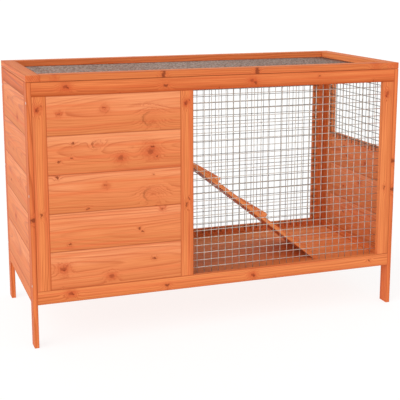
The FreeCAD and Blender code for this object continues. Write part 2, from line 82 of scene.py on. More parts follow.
# ---------------------------------------------------------------- colours and nodes
def linear(hex_colour: str) -> Colour:
    """Turns an sRGB colour into the linear light that the shader works in.

    Args:
        hex_colour: the colour as "#rrggbb".
    Returns:
        Red, green, blue and an opaque alpha.
    """
    channels = [int(hex_colour[start:start + 2], 16) / 255 for start in (1, 3, 5)]
    red, green, blue = (c / 12.92 if c <= 0.04045 else ((c + 0.055) / 1.055) ** 2.4
                        for c in channels)
    return red, green, blue, 1.0


def add_node(tree: Tree, kind: str, inputs: dict | None = None, **settings) -> bpy.types.Node:
    """Adds one node to a material.

    Args:
        tree: the material's node tree.
        kind: the node's Blender type.
        inputs: what each input socket takes, by name or number: another node's output, or a value.
        settings: the node's own options, such as its operation.
    Returns:
        The new node.
    """
    node = tree.nodes.new(kind)
    for option, choice in settings.items():
        setattr(node, option, choice)
    for socket, source in (inputs or {}).items():
        if isinstance(source, Socket):
            tree.links.new(source, node.inputs[socket])
        else:
            node.inputs[socket].default_value = source
    return node


def set_stops(ramp: bpy.types.Node, stops: dict[float, float]) -> None:
    """Gives a colour ramp its grey stops.

    Args:
        ramp: the colour ramp node.
        stops: the grey level at each position.
    """
    elements = ramp.color_ramp.elements
    while len(elements) > 1:
        elements.remove(elements[-1])
    for index, (position, grey) in enumerate(stops.items()):
        element = elements[0] if index == 0 else elements.new(position)
        element.position = position
        element.color = (grey, grey, grey, 1.0)


# ---------------------------------------------------------------- stained fir
class Sawing(Enum):
    """How a board was sawn out of the log, which sets how its rings meet its face."""

    FLAT = "arches down the middle of the face"
    RIFT = "near-straight lines along the face"


class KnotLook(Enum):
    """How a knot shows."""

    PIN = "a small dark heart"
    RED = "a red-brown heart in a broad red halo"
    RINGED = "a tight pale branch with a dark bark line down one side"


# How strong the red halo round each kind of knot is.
KNOT_REDNESS = {KnotLook.PIN: 0.3, KnotLook.RED: 0.6, KnotLook.RINGED: 0.2}

# How far the wood has darkened through one year's growth, from soft earlywood to the hard line
# of latewood, which ends sharply.
YEAR = {0.0: 0.55, 0.07: 0.04, 0.5: 0.12, 0.76: 0.45, 0.9: 1.0, 0.97: 0.9, 1.0: 0.55}


@dataclass(frozen=True)
class Knot:
    """A knot, placed in millimetres from the middle of its board.

    Attributes:
        along: towards the end of the board.
        across: towards the edge of the board.
        radius: of the hard core.
        look: how it shows.
    """

    along: float
    across: float
    radius: float
    look: KnotLook = KnotLook.PIN


@dataclass(frozen=True)
class Board:
    """One board, or a set of like battens, and how it lies.

    Attributes:
        centre: its middle, in metres.
        size: its length along the grain, its width and its thickness, in millimetres.
        grain: unit vector along its fibres.
        face: unit vector out of its wide face.
        sawing: how it came out of the log.
        knots: the knots that show on it.
        single: whether it is one board, so that its edges and ends are known.
    """

    centre: Vector
    size: Vector
    grain: Vector
    face: Vector
    sawing: Sawing = Sawing.RIFT
    knots: tuple[Knot, ...] = ()
    single: bool = True


@dataclass(frozen=True)
class StainedFir:
    """Planed fir under a thin orange-red water stain and a matt sealer.

    The soft earlywood drinks the stain and glows orange. The hard latewood lines stay darker
    and redder, knots go deep red-brown, and the sealer leaves a dull, dry sheen.

    Attributes:
        early: earlywood between the ring lines.
        late: latewood lines.
        pale_side: the paler tone towards one edge of the board, the top on wall planks and rails.
        heart: the browner tone towards the other edge, the bottom on wall planks and rails.
        ember: redder streaks along the grain.
        halo: the wood round a knot.
        core: the knot itself.
        joint: stain gathered in the eased edges where boards meet, and painted shade in those
            joints.
        ring_pitch: millimetres from ring to ring.
        line_strength: how far the latewood lines darken.
        contrast: how far the two sides of the board differ.
        roughness: of the earlywood.
        smoother: how much smoother the hard latewood is.
        gloss: specular level of the matt sealer.
        relief: height of the raised fibres, in millimetres.
    """

    early: str
    late: str
    pale_side: str
    heart: str
    ember: str
    halo: str = "#b8441e"
    core: str = "#7c3416"
    # Colour of the eased edges: gathered stain, and painted shade in the joints between boards.
    joint: str = "#96401c"
    ring_pitch: float = 6.5
    line_strength: float = 0.68
    contrast: float = 0.62
    roughness: float = 0.62
    smoother: float = 0.12
    gloss: float = 0.15
    relief: float = 0.25

    def make(self, name: str, board: Board) -> bpy.types.Material:
        """Makes the material for one board.

        Args:
            name: the board's name, which also seeds its figure.
            board: how the board lies.
        Returns:
            The material.
        """
        draw = random.Random(name)
        material = bpy.data.materials.new(f"stained_fir_{name}")
        material.use_nodes = True
        tree = material.node_tree
        shader = tree.nodes["Principled BSDF"]
        place = self._board_place(tree, board)
        offset = tuple(draw.uniform(-50, 50) for _ in range(3))
        swell, halo, core = self._knots(tree, self._ragged(tree, place), board, offset)
        late = self._latewood(tree, place, board, swell, offset, draw)
        # Real fibres are a few hundredths of a millimetre wide. They are drawn coarser to show.
        fibre = add_node(tree, "ShaderNodeTexNoise", {
            "Vector": self._stretched(tree, place, (110, 2.4), offset),
            "Scale": 1.0, "Detail": 3.0, "Roughness": 0.6})
        colour = self._colour(tree, place, board, late, fibre.outputs["Fac"], offset)
        colour = self._blend(tree, halo, colour, linear(self.halo))
        colour = self._blend(tree, core, colour, linear(self.core))
        if board.single:
            colour = self._edges(tree, place, board, colour)
        tree.links.new(colour, shader.inputs["Base Color"])
        dullness = add_node(tree, "ShaderNodeMapRange", {
            "Value": late, "To Min": self.roughness, "To Max": self.roughness - self.smoother})
        tree.links.new(dullness.outputs[0], shader.inputs["Roughness"])
        shader.inputs["IOR"].default_value = 1.5
        shader.inputs["Specular IOR Level"].default_value = self.gloss
        # The planer leaves the hard lines standing proud, and the wet stain lifts the fibres.
        height = add_node(tree, "ShaderNodeMath", {
            0: fibre.outputs["Fac"], 1: 0.6, 2: late}, operation="MULTIPLY_ADD")
        bump = add_node(tree, "ShaderNodeBump", {
            "Strength": 0.35, "Distance": self.relief * MM, "Height": height.outputs[0]})
        tree.links.new(bump.outputs[0], shader.inputs["Normal"])
        return material

    def _board_place(self, tree: Tree, board: Board) -> Socket:
        """Measures every point from the middle of the board, along its own axes.

        Args:
            tree: the material's node tree.
            board: how the board lies.
        Returns:
            The point in millimetres: along, across and through the board.
        """
        across = board.face.cross(board.grain)
        turned = Matrix((board.grain, across, board.face)).transposed().to_euler()
        coordinates = add_node(tree, "ShaderNodeTexCoord")
        mapping = add_node(tree, "ShaderNodeMapping", {
            "Vector": coordinates.outputs["Object"], "Location": board.centre,
            "Rotation": turned, "Scale": (MM, MM, MM)}, vector_type="TEXTURE")
        return mapping.outputs[0]

    def _stretched(self, tree: Tree, place: Socket, size: tuple[float, float],
                   offset: Sequence[float], flat: bool = False) -> Socket:
        """Scales a pattern to its real size in the wood.

        Args:
            tree: the material's node tree.
            place: the point on the board, in millimetres.
            size: the pattern's length along the board and its width, in millimetres.
            offset: where in the pattern the board lies.
            flat: whether the pattern goes straight through the board.
        Returns:
            The place in the pattern.
        """
        scale = (1 / size[0], 1 / size[1], 0 if flat else 1 / size[1])
        node = add_node(tree, "ShaderNodeVectorMath", {0: place, 1: scale, 2: offset},
                        operation="MULTIPLY_ADD")
        return node.outputs[0]

    def _ragged(self, tree: Tree, place: Socket) -> Socket:
        """Nudges the place a little to and fro, which roughens the outline of a knot.

        Args:
            tree: the material's node tree.
            place: the point on the board, in millimetres.
        Returns:
            The nudged place.
        """
        lump, along, across = 8, 15, 14
        noise = add_node(tree, "ShaderNodeTexNoise", {
            "Vector": place, "Scale": 1 / lump, "Detail": 2.0, "Roughness": 0.65})
        shaken = add_node(tree, "ShaderNodeVectorMath", {
            0: noise.outputs["Color"], 1: (along, across, 0), 2: (-along / 2, -across / 2, 0)},
            operation="MULTIPLY_ADD")
        nudged = add_node(tree, "ShaderNodeVectorMath", {0: place, 1: shaken.outputs[0]},
                          operation="ADD")
        return nudged.outputs[0]

    def _blend(self, tree: Tree, share: Socket, under: Socket, over: Colour) -> Socket:
        """Lays one colour over another.

        Args:
            tree: the material's node tree.
            share: how much of the upper colour shows, which varies over the board.
            under: the lower colour.
            over: the upper colour.
        Returns:
            The blended colour.
        """
        mix = add_node(tree, "ShaderNodeMix", {0: share, 6: under, 7: over}, data_type="RGBA")
        return mix.outputs[2]

    def _knots(self, tree: Tree, place: Socket, board: Board,
               offset: tuple) -> tuple[Socket, Socket, Socket]:
        """Draws the placed knots and a scatter of pin knots.

        Args:
            tree: the material's node tree.
            place: the point on the board, in millimetres.
            board: the board, with its placed knots.
            offset: the board's own offset.
        Returns:
            How far the rings swell round knots in millimetres, the halo's share and the core's.
        """
        # Millimetres from one place for a pin knot to the next, a pin knot's radius, and the
        # share of the places left clear.
        cell, pin_radius, clear = 88.0, 2.0, 0.84
        scatter = add_node(tree, "ShaderNodeTexVoronoi", {
            "Vector": self._stretched(tree, place, (cell, cell), offset, flat=True),
            "Scale": 1.0}, voronoi_dimensions="2D")
        lot = add_node(tree, "ShaderNodeSeparateColor", {0: scatter.outputs["Color"]})
        kept = add_node(tree, "ShaderNodeMath", {0: lot.outputs[0], 1: clear},
                        operation="GREATER_THAN")
        core = add_node(tree, "ShaderNodeMapRange", {
            "Value": scatter.outputs["Distance"], "From Min": 1.3 * pin_radius / cell,
            "From Max": 0.5 * pin_radius / cell, "To Max": 0.6}, interpolation_type="SMOOTHSTEP")
        swell = add_node(tree, "ShaderNodeMapRange", {
            "Value": scatter.outputs["Distance"], "From Min": 4.5 * pin_radius / cell,
            "From Max": 0.0, "To Max": 1.6 * pin_radius}, interpolation_type="SMOOTHSTEP")
        core_share = add_node(tree, "ShaderNodeMath", {0: core.outputs[0], 1: kept.outputs[0]},
                              operation="MULTIPLY").outputs[0]
        swell_size = add_node(tree, "ShaderNodeMath", {0: swell.outputs[0], 1: kept.outputs[0]},
                              operation="MULTIPLY").outputs[0]
        halo_share = add_node(tree, "ShaderNodeMath", {0: swell_size, 1: 0.06},
                              operation="MULTIPLY").outputs[0]
        for knot in board.knots:
            reach = 2.1 * knot.radius
            oval = (1.35 * reach, reach)
            middle = (-knot.along / oval[0], -knot.across / oval[1], 0)
            away = self._stretched(tree, place, oval, middle, flat=True)
            squared = add_node(tree, "ShaderNodeVectorMath", {0: away, 1: away},
                               operation="DOT_PRODUCT").outputs[1]
            hump = add_node(tree, "ShaderNodeMath", {0: 1 / math.e, 1: squared},
                            operation="POWER").outputs[0]
            swell_size = add_node(tree, "ShaderNodeMath", {
                0: hump, 1: 2.6 * knot.radius, 2: swell_size},
                operation="MULTIPLY_ADD").outputs[0]
            halo_share = add_node(tree, "ShaderNodeMath", {
                0: hump, 1: KNOT_REDNESS[knot.look], 2: halo_share},
                operation="MULTIPLY_ADD", use_clamp=True).outputs[0]
            if knot.look is KnotLook.RINGED:
                heart = self._bark_line(tree, away, squared)
            else:
                pin = knot.look is KnotLook.PIN
                heart = add_node(tree, "ShaderNodeMapRange", {
                    "Value": squared, "From Min": 0.34 if pin else 0.2, "From Max": 0.03,
                    "To Max": 0.85 if pin else 0.5}, interpolation_type="SMOOTHSTEP").outputs[0]
            core_share = add_node(tree, "ShaderNodeMath", {0: heart, 1: core_share},
                                  operation="MAXIMUM").outputs[0]
        return swell_size, halo_share, core_share

    def _bark_line(self, tree: Tree, away: Socket, squared: Socket) -> Socket:
        """Draws the dark bark line down one side of a tight branch.

        Args:
            tree: the material's node tree.
            away: the place measured from the knot, in its own size.
            squared: how far off that is, squared.
        Returns:
            The share of the bark line.
        """
        disc = add_node(tree, "ShaderNodeMapRange", {
            "Value": squared, "From Min": 0.95, "From Max": 0.6}, interpolation_type="SMOOTHSTEP")
        inside = add_node(tree, "ShaderNodeMapRange", {
            "Value": squared, "From Min": 0.6, "From Max": 0.3}, interpolation_type="SMOOTHSTEP")
        rim = add_node(tree, "ShaderNodeMath", {0: disc.outputs[0], 1: inside.outputs[0]},
                       operation="SUBTRACT")
        parts = add_node(tree, "ShaderNodeSeparateXYZ", {0: away})
        side = add_node(tree, "ShaderNodeMapRange", {
            "Value": parts.outputs[0], "From Min": 0.1, "From Max": -0.8, "To Max": 0.45})
        line = add_node(tree, "ShaderNodeMath", {0: rim.outputs[0], 1: side.outputs[0]},
                        operation="MULTIPLY")
        return line.outputs[0]

    def _latewood(self, tree: Tree, place: Socket, board: Board, swell: Socket, offset: tuple,
                  draw: random.Random) -> Socket:
        """Draws the ring lines, as shells round the log's leaning, wandering pith.

        Args:
            tree: the material's node tree.
            place: the point on the board, in millimetres.
            board: the board, with its sawing.
            swell: how far the rings swell round knots.
            offset: the board's own offset.
            draw: the board's own random numbers.
        Returns:
            The latewood's share, from 0 in earlywood to 1 in the heart of a strong line.
        """
        # Where the pith is, in millimetres across and behind the board's middle, and how far it
        # leans for each millimetre along. A flat-sawn board has it close behind its face, and a
        # rift-sawn one far to the side.
        if board.sawing is Sawing.FLAT:
            pith = (draw.uniform(-0.25, 0.25) * board.size.y, -draw.uniform(24, 44))
            lean = (draw.uniform(-0.03, 0.03), draw.choice((-1, 1)) * draw.uniform(0.03, 0.06))
        else:
            pith = (draw.choice((-1, 1)) * draw.uniform(70, 130), -draw.uniform(20, 60))
            lean = (draw.uniform(-0.02, 0.02), draw.uniform(-0.02, 0.02))
        wander = 7.0  # millimetres that the rings stray from true circles
        sway = add_node(tree, "ShaderNodeTexNoise", {
            "Vector": self._stretched(tree, place, (260, 120), offset),
            "Scale": 1.0, "Detail": 1.5})
        shift = (0, -wander - pith[0], -wander - pith[1])
        bent = add_node(tree, "ShaderNodeVectorMath", {
            0: sway.outputs["Color"], 1: (0, 2 * wander, 2 * wander), 2: shift},
            operation="MULTIPLY_ADD")
        flat = add_node(tree, "ShaderNodeVectorMath", {0: place, 1: (0, 1, 1), 2: bent.outputs[0]},
                        operation="MULTIPLY_ADD")
        parts = add_node(tree, "ShaderNodeSeparateXYZ", {0: place})
        leaning = add_node(tree, "ShaderNodeVectorMath", {
            0: (0, lean[0], lean[1]), 3: parts.outputs[0]}, operation="SCALE")
        from_pith = add_node(tree, "ShaderNodeVectorMath", {
            0: flat.outputs[0], 1: leaning.outputs[0]}, operation="ADD")
        distance = add_node(tree, "ShaderNodeVectorMath", {0: from_pith.outputs[0]},
                            operation="LENGTH").outputs[1]
        swollen = add_node(tree, "ShaderNodeMath", {0: distance, 1: swell}, operation="ADD")
        good_years = 26
        seasons = add_node(tree, "ShaderNodeMath", {
            0: distance, 1: 1 / good_years, 2: offset[0]}, operation="MULTIPLY_ADD")
        uneven = add_node(tree, "ShaderNodeTexNoise", {"W": seasons.outputs[0], "Scale": 1.0,
                                                       "Detail": 2.0}, noise_dimensions="1D")
        rings = add_node(tree, "ShaderNodeMath", {
            0: swollen.outputs[0], 1: 1 / self.ring_pitch, 2: uneven.outputs["Fac"]},
            operation="MULTIPLY_ADD")
        counted = add_node(tree, "ShaderNodeMath", {0: uneven.outputs["Fac"], 1: 3.0,
                                                    2: rings.outputs[0]},
                           operation="MULTIPLY_ADD")
        season = add_node(tree, "ShaderNodeMath", {0: counted.outputs[0]}, operation="FRACT")
        profile = add_node(tree, "ShaderNodeValToRGB", {"Fac": season.outputs[0]})
        set_stops(profile, YEAR)
        figure = add_node(tree, "ShaderNodeTexNoise", {
            "Vector": self._stretched(tree, place, (420, 20), offset),
            "Scale": 1.0, "Detail": 1.0})
        strength = add_node(tree, "ShaderNodeMapRange", {
            "Value": figure.outputs["Fac"], "From Min": 0.36, "From Max": 0.66,
            "To Min": 0.18})
        late = add_node(tree, "ShaderNodeMath", {
            0: profile.outputs["Color"], 1: strength.outputs[0]}, operation="MULTIPLY")
        return late.outputs[0]

    def _colour(self, tree: Tree, place: Socket, board: Board, late: Socket, fibre: Socket,
                offset: tuple) -> Socket:
        """Stains the board: a paler and a browner edge, its latewood lines and its red streaks.

        Args:
            tree: the material's node tree.
            place: the point on the board, in millimetres.
            board: the board, which is paler towards the edge that its across axis points to.
            late: the latewood's share.
            fibre: the fine streaks, from 0 to 1.
            offset: the board's own offset.
        Returns:
            The stain's colour.
        """
        # Paler towards the edge that the across axis points to, browner towards the other edge.
        clouds = add_node(tree, "ShaderNodeTexNoise", {
            "Vector": self._stretched(tree, place, (230, 30), offset),
            "Scale": 1.0, "Detail": 2.0})
        parts = add_node(tree, "ShaderNodeSeparateXYZ", {0: place})
        drift = add_node(tree, "ShaderNodeMath", {
            0: parts.outputs[1], 1: 1.1 / board.size.y, 2: clouds.outputs["Fac"]},
            operation="MULTIPLY_ADD")
        pale = add_node(tree, "ShaderNodeMapRange", {
            "Value": drift.outputs[0], "From Min": 0.5, "From Max": 1.0,
            "To Max": self.contrast}, interpolation_type="SMOOTHSTEP")
        brown = add_node(tree, "ShaderNodeMapRange", {
            "Value": drift.outputs[0], "From Min": 0.5, "From Max": 0.0,
            "To Max": self.contrast}, interpolation_type="SMOOTHSTEP")
        colour = add_node(tree, "ShaderNodeMix", {
            0: pale.outputs[0], 6: linear(self.early), 7: linear(self.pale_side)},
            data_type="RGBA").outputs[2]
        colour = self._blend(tree, brown.outputs[0], colour, linear(self.heart))
        streaks = add_node(tree, "ShaderNodeTexNoise", {
            "Vector": self._stretched(tree, place, (520, 9), offset[::-1]),
            "Scale": 1.0, "Detail": 3.0, "Roughness": 0.6})
        red = add_node(tree, "ShaderNodeMapRange", {
            "Value": streaks.outputs["Fac"], "From Min": 0.47, "From Max": 0.68,
            "To Max": 0.7})
        colour = self._blend(tree, red.outputs[0], colour, linear(self.ember))
        line = add_node(tree, "ShaderNodeMath", {0: late, 1: self.line_strength},
                        operation="MULTIPLY")
        colour = self._blend(tree, line.outputs[0], colour, linear(self.late))
        grey = add_node(tree, "ShaderNodeMapRange", {
            "Value": fibre, "From Min": 0.4, "From Max": 0.7, "To Max": 0.34})
        return self._blend(tree, grey.outputs[0], colour, linear(self.late))

    def _edges(self, tree: Tree, place: Socket, board: Board, colour: Socket) -> Socket:
        """Darkens the thirsty end grain, and the eased edges with gathered stain and painted
        shade.

        Args:
            tree: the material's node tree.
            place: the point on the board, in millimetres.
            board: the board, with its size.
            colour: the colour of the rest of the board.
        Returns:
            The colour with its edges.
        """
        size = add_node(tree, "ShaderNodeVectorMath", {0: place}, operation="ABSOLUTE")
        parts = add_node(tree, "ShaderNodeSeparateXYZ", {0: size.outputs[0]})
        end_share, joint_shade_share = 0.4, 0.45
        near = []
        # Each axis of the board, and how deep in from its ends it darkens: stain in the end grain,
        # stain and painted shade along the eased edges.
        for axis, depth in ((0, 0.9), (1, 2.6), (2, 1.6)):
            half = board.size[axis] / 2
            near.append(add_node(tree, "ShaderNodeMapRange", {
                "Value": parts.outputs[axis], "From Min": half - depth,
                "From Max": half - 0.4 * depth}).outputs[0])
        end = add_node(tree, "ShaderNodeMath", {0: near[0], 1: end_share}, operation="MULTIPLY")
        colour = self._blend(tree, end.outputs[0], colour, linear(self.halo))
        # The eased edges take the joint colour: gathered stain, and painted shade where boards
        # meet.
        joint_band = add_node(tree, "ShaderNodeMath", {0: near[1], 1: near[2]}, operation="MULTIPLY")
        painted_joint_shade = add_node(tree, "ShaderNodeMath", {0: joint_band.outputs[0], 1: joint_shade_share},
                          operation="MULTIPLY")
        return self._blend(tree, painted_joint_shade.outputs[0], colour, linear(self.joint))


WALL_FIR = StainedFir(early="#db834f", late="#b04e26", pale_side="#e99a6b", heart="#cb7842",
                      ember="#d96e40")
FRAME_FIR = StainedFir(early="#de8249", late="#a8471d", pale_side="#e28a51", heart="#c76d38",
                       ember="#d3663b", ring_pitch=4.5, line_strength=0.78)
TOP_RAIL_FIR = StainedFir(early="#d87640", late="#a13f16", pale_side="#df8048", heart="#b45522",
                          ember="#ca5a2c", ring_pitch=4.5, line_strength=0.7, contrast=1.0)
LEG_FIR = StainedFir(early="#d6723c", late="#98390f", pale_side="#de7c46", heart="#c0602b",
                     ember="#c85a2e", ring_pitch=4.0, line_strength=0.9)
# A paler copy of the fir for the boards inside the run and the ramp: painted light against the
# run's shade.
LIT_INNER_FIR = StainedFir(early="#f09459", late="#bc5a2a", pale_side="#f4a068", heart="#de864c",
                       ember="#e67843")


# ---------------------------------------------------------------- metals
@dataclass(frozen=True)
class GalvanisedWire:
    """Mild steel wire, hot-dip galvanised after welding.

    The zinc skin has dulled to an even grey, so a wire looks soft grey with hardly a glint.

    Attributes:
        fresh: colour of the bright patches.
        dull: colour of the dull patches.
        patch: size of the patches in millimetres.
        roughness: of the bright and of the dull patches.
    """

    fresh: str = "#928a81"
    dull: str = "#706962"
    patch: float = 6.0
    roughness: tuple[float, float] = (0.42, 0.6)

    def make(self) -> bpy.types.Material:
        """Makes the material and returns it."""
        return make_metal("galvanised_wire", self.fresh, self.dull, self.patch, self.roughness)


@dataclass(frozen=True)
class BrightZinc:
    """Steel with a bright zinc plating, barrelled smooth.

    It gives the eye a cool, pale metal with soft highlights and slightly duller patches.

    Attributes:
        fresh: colour of the bright patches.
        dull: colour of the dull patches.
        patch: size of the patches in millimetres.
        roughness: of the bright and of the dull patches.
    """

    fresh: str = "#d5d6d3"
    dull: str = "#b7b8b2"
    patch: float = 3.0
    roughness: tuple[float, float] = (0.26, 0.42)

    def make(self) -> bpy.types.Material:
        """Makes the material and returns it."""
        return make_metal("bright_zinc", self.fresh, self.dull, self.patch, self.roughness)


def make_metal(name: str, fresh: str, dull: str, patch: float,
               roughness: tuple[float, float]) -> bpy.types.Material:
    """Makes a zinc finish whose skin is mottled.

    Args:
        name: the material's name.
        fresh: colour of the bright patches.
        dull: colour of the dull patches.
        patch: size of the patches in millimetres.
        roughness: of the bright and of the dull patches.
    Returns:
        The material.
    """
    material = bpy.data.materials.new(name)
    material.use_nodes = True
    tree = material.node_tree
    shader = tree.nodes["Principled BSDF"]
    shader.inputs["Metallic"].default_value = 1.0
    coordinates = add_node(tree, "ShaderNodeTexCoord")
    mottle = add_node(tree, "ShaderNodeTexNoise", {
        "Vector": coordinates.outputs["Object"], "Scale": 1 / (patch * MM), "Detail": 3.0})
    share = add_node(tree, "ShaderNodeMapRange", {
        "Value": mottle.outputs["Fac"], "From Min": 0.35, "From Max": 0.65})
    colour = add_node(tree, "ShaderNodeMix", {
        0: share.outputs[0], 6: linear(fresh), 7: linear(dull)}, data_type="RGBA")
    tree.links.new(colour.outputs[2], shader.inputs["Base Color"])
    gloss = add_node(tree, "ShaderNodeMapRange", {
        "Value": mottle.outputs["Fac"], "From Min": 0.35, "From Max": 0.65,
        "To Min": roughness[0], "To Max": roughness[1]})
    tree.links.new(gloss.outputs[0], shader.inputs["Roughness"])
    bump = add_node(tree, "ShaderNodeBump", {
        "Strength": 0.15, "Distance": 0.05 * MM, "Height": mottle.outputs["Fac"]})
    tree.links.new(bump.outputs[0], shader.inputs["Normal"])
    return material


# ---------------------------------------------------------------- modelling by hand
def deselect() -> None:
    """Clears the selection, so that an operator acts only on what comes next."""
    bpy.ops.object.select_all(action="DESELECT")


def choose(piece: bpy.types.Object) -> None:
    """Selects one piece alone and makes it the active one.

    Args:
        piece: the piece.
    """
    deselect()
    piece.select_set(True)
    bpy.context.view_layer.objects.active = piece


def select_in_edit(piece: bpy.types.Object, kind: str, wanted: Callable[..., bool]) -> None:
    """Selects faces or edges of a piece that is in edit mode.

    Args:
        piece: the piece.
        kind: "faces" or "edges".
        wanted: says of a face or an edge whether it is selected.
    """
    bpy.ops.mesh.select_all(action="DESELECT")
    shape = bmesh.from_edit_mesh(piece.data)
    for element in getattr(shape, kind):
        if wanted(element):
            element.select_set(True)
    bmesh.update_edit_mesh(piece.data)


def start_block(size: Sequence[float], middle: Sequence[float]) -> bpy.types.Object:
    """Adds a block to be shaped, and leaves it in edit mode.

    Args:
        size: its three sides, in metres.
        middle: its middle.
    Returns:
        The block.
    """
    deselect()
    bpy.ops.mesh.primitive_cube_add(size=1, location=middle)
    bpy.ops.object.mode_set(mode="EDIT")
    bpy.ops.mesh.select_all(action="SELECT")
    bpy.ops.transform.resize(value=size, center_override=middle)
    return bpy.context.object


def cut_away(piece: bpy.types.Object, tool: bpy.types.Object) -> None:
    """Cuts a tool's shape out of a piece, and removes the tool.

    Args:
        piece: the piece.
        tool: what is cut out of it.
    """
    choose(piece)
    cut = piece.modifiers.new("cut", "BOOLEAN")
    cut.operation = "DIFFERENCE"
    cut.object = tool
    bpy.ops.object.modifier_apply(modifier=cut.name)
    bpy.data.objects.remove(tool)


def finish_mesh(piece: bpy.types.Object, smooth_under: float) -> None:
    """Turns a piece's faces outwards, smooths it by angle and settles its place into its mesh.

    Args:
        piece: the piece, in object mode.
        smooth_under: degrees under which an edge shades smooth.
    """
    choose(piece)
    bpy.ops.object.transform_apply(location=True, rotation=True, scale=True)
    bpy.ops.object.mode_set(mode="EDIT")
    bpy.ops.mesh.select_all(action="SELECT")
    bpy.ops.mesh.normals_make_consistent(inside=False)
    bpy.ops.object.mode_set(mode="OBJECT")
    bpy.ops.object.shade_smooth_by_angle(angle=math.radians(smooth_under))


def repeat_along(piece: bpy.types.Object, step: Vector, count: int) -> None:
    """Repeats a piece in a row, as an applied array.

    Args:
        piece: the piece, which becomes the whole row.
        step: from one copy to the next, in metres.
        count: copies in all.
    """
    choose(piece)
    row = piece.modifiers.new("row", "ARRAY")
    row.use_relative_offset = False
    row.use_constant_offset = True
    row.constant_offset_displace = step
    row.count = count
    bpy.ops.object.modifier_apply(modifier=row.name)


def copies_at(pattern: bpy.types.Object, places: list[Matrix], name: str) -> bpy.types.Object:
    """Copies a finished pattern to each place and joins the copies into one piece.

    Args:
        pattern: the piece modelled once, at the origin, which is removed afterwards.
        places: where each copy goes.
        name: the joined piece's name.
    Returns:
        The joined piece.
    """
    made = []
    for place in places:
        choose(pattern)
        bpy.ops.object.duplicate()
        copy = bpy.context.object
        copy.matrix_world = place
        made.append(copy)
    return join_pieces(made, name, pattern)


def join_pieces(pieces: list[bpy.types.Object], name: str,
                pattern: bpy.types.Object | None = None) -> bpy.types.Object:
    """Joins pieces into one, and removes the pattern that they were copied from.

    Args:
        pieces: the pieces.
        name: the joined piece's name.
        pattern: the pattern to remove, or None.
    Returns:
        The joined piece.
    """
    if pattern is not None:
        bpy.data.objects.remove(pattern)
    deselect()
    for piece in pieces:
        piece.select_set(True)
    bpy.context.view_layer.objects.active = pieces[0]
    bpy.ops.object.transform_apply(location=True, rotation=True, scale=True)
    bpy.ops.object.join()
    joined = bpy.context.object
    joined.name = name
    joined.data.name = name
    return joined


def hand_over(piece: bpy.types.Object, body: str, slot: str, material: bpy.types.Material,
              *stands_for: str) -> None:
    """Dresses a new piece and ties it to the frame.

    Args:
        piece: the piece, in place.
        body: the CAD body that it rides on.
        slot: the record's material slot; not used.
        material: its finish.
        stands_for: CAD nodes that it replaces.
    """
    piece.data.materials.clear()
    piece.data.materials.append(material)
    if stands_for:
        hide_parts(*stands_for)
    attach(piece, body)
    log.info("%s rides on %s, %d faces", piece.name, body, len(piece.data.polygons))


# ---------------------------------------------------------------- boards
AXES = {"X": Vector((1, 0, 0)), "Y": Vector((0, 1, 0)), "Z": Vector((0, 0, 1)),
        "-X": Vector((-1, 0, 0)), "-Y": Vector((0, -1, 0))}


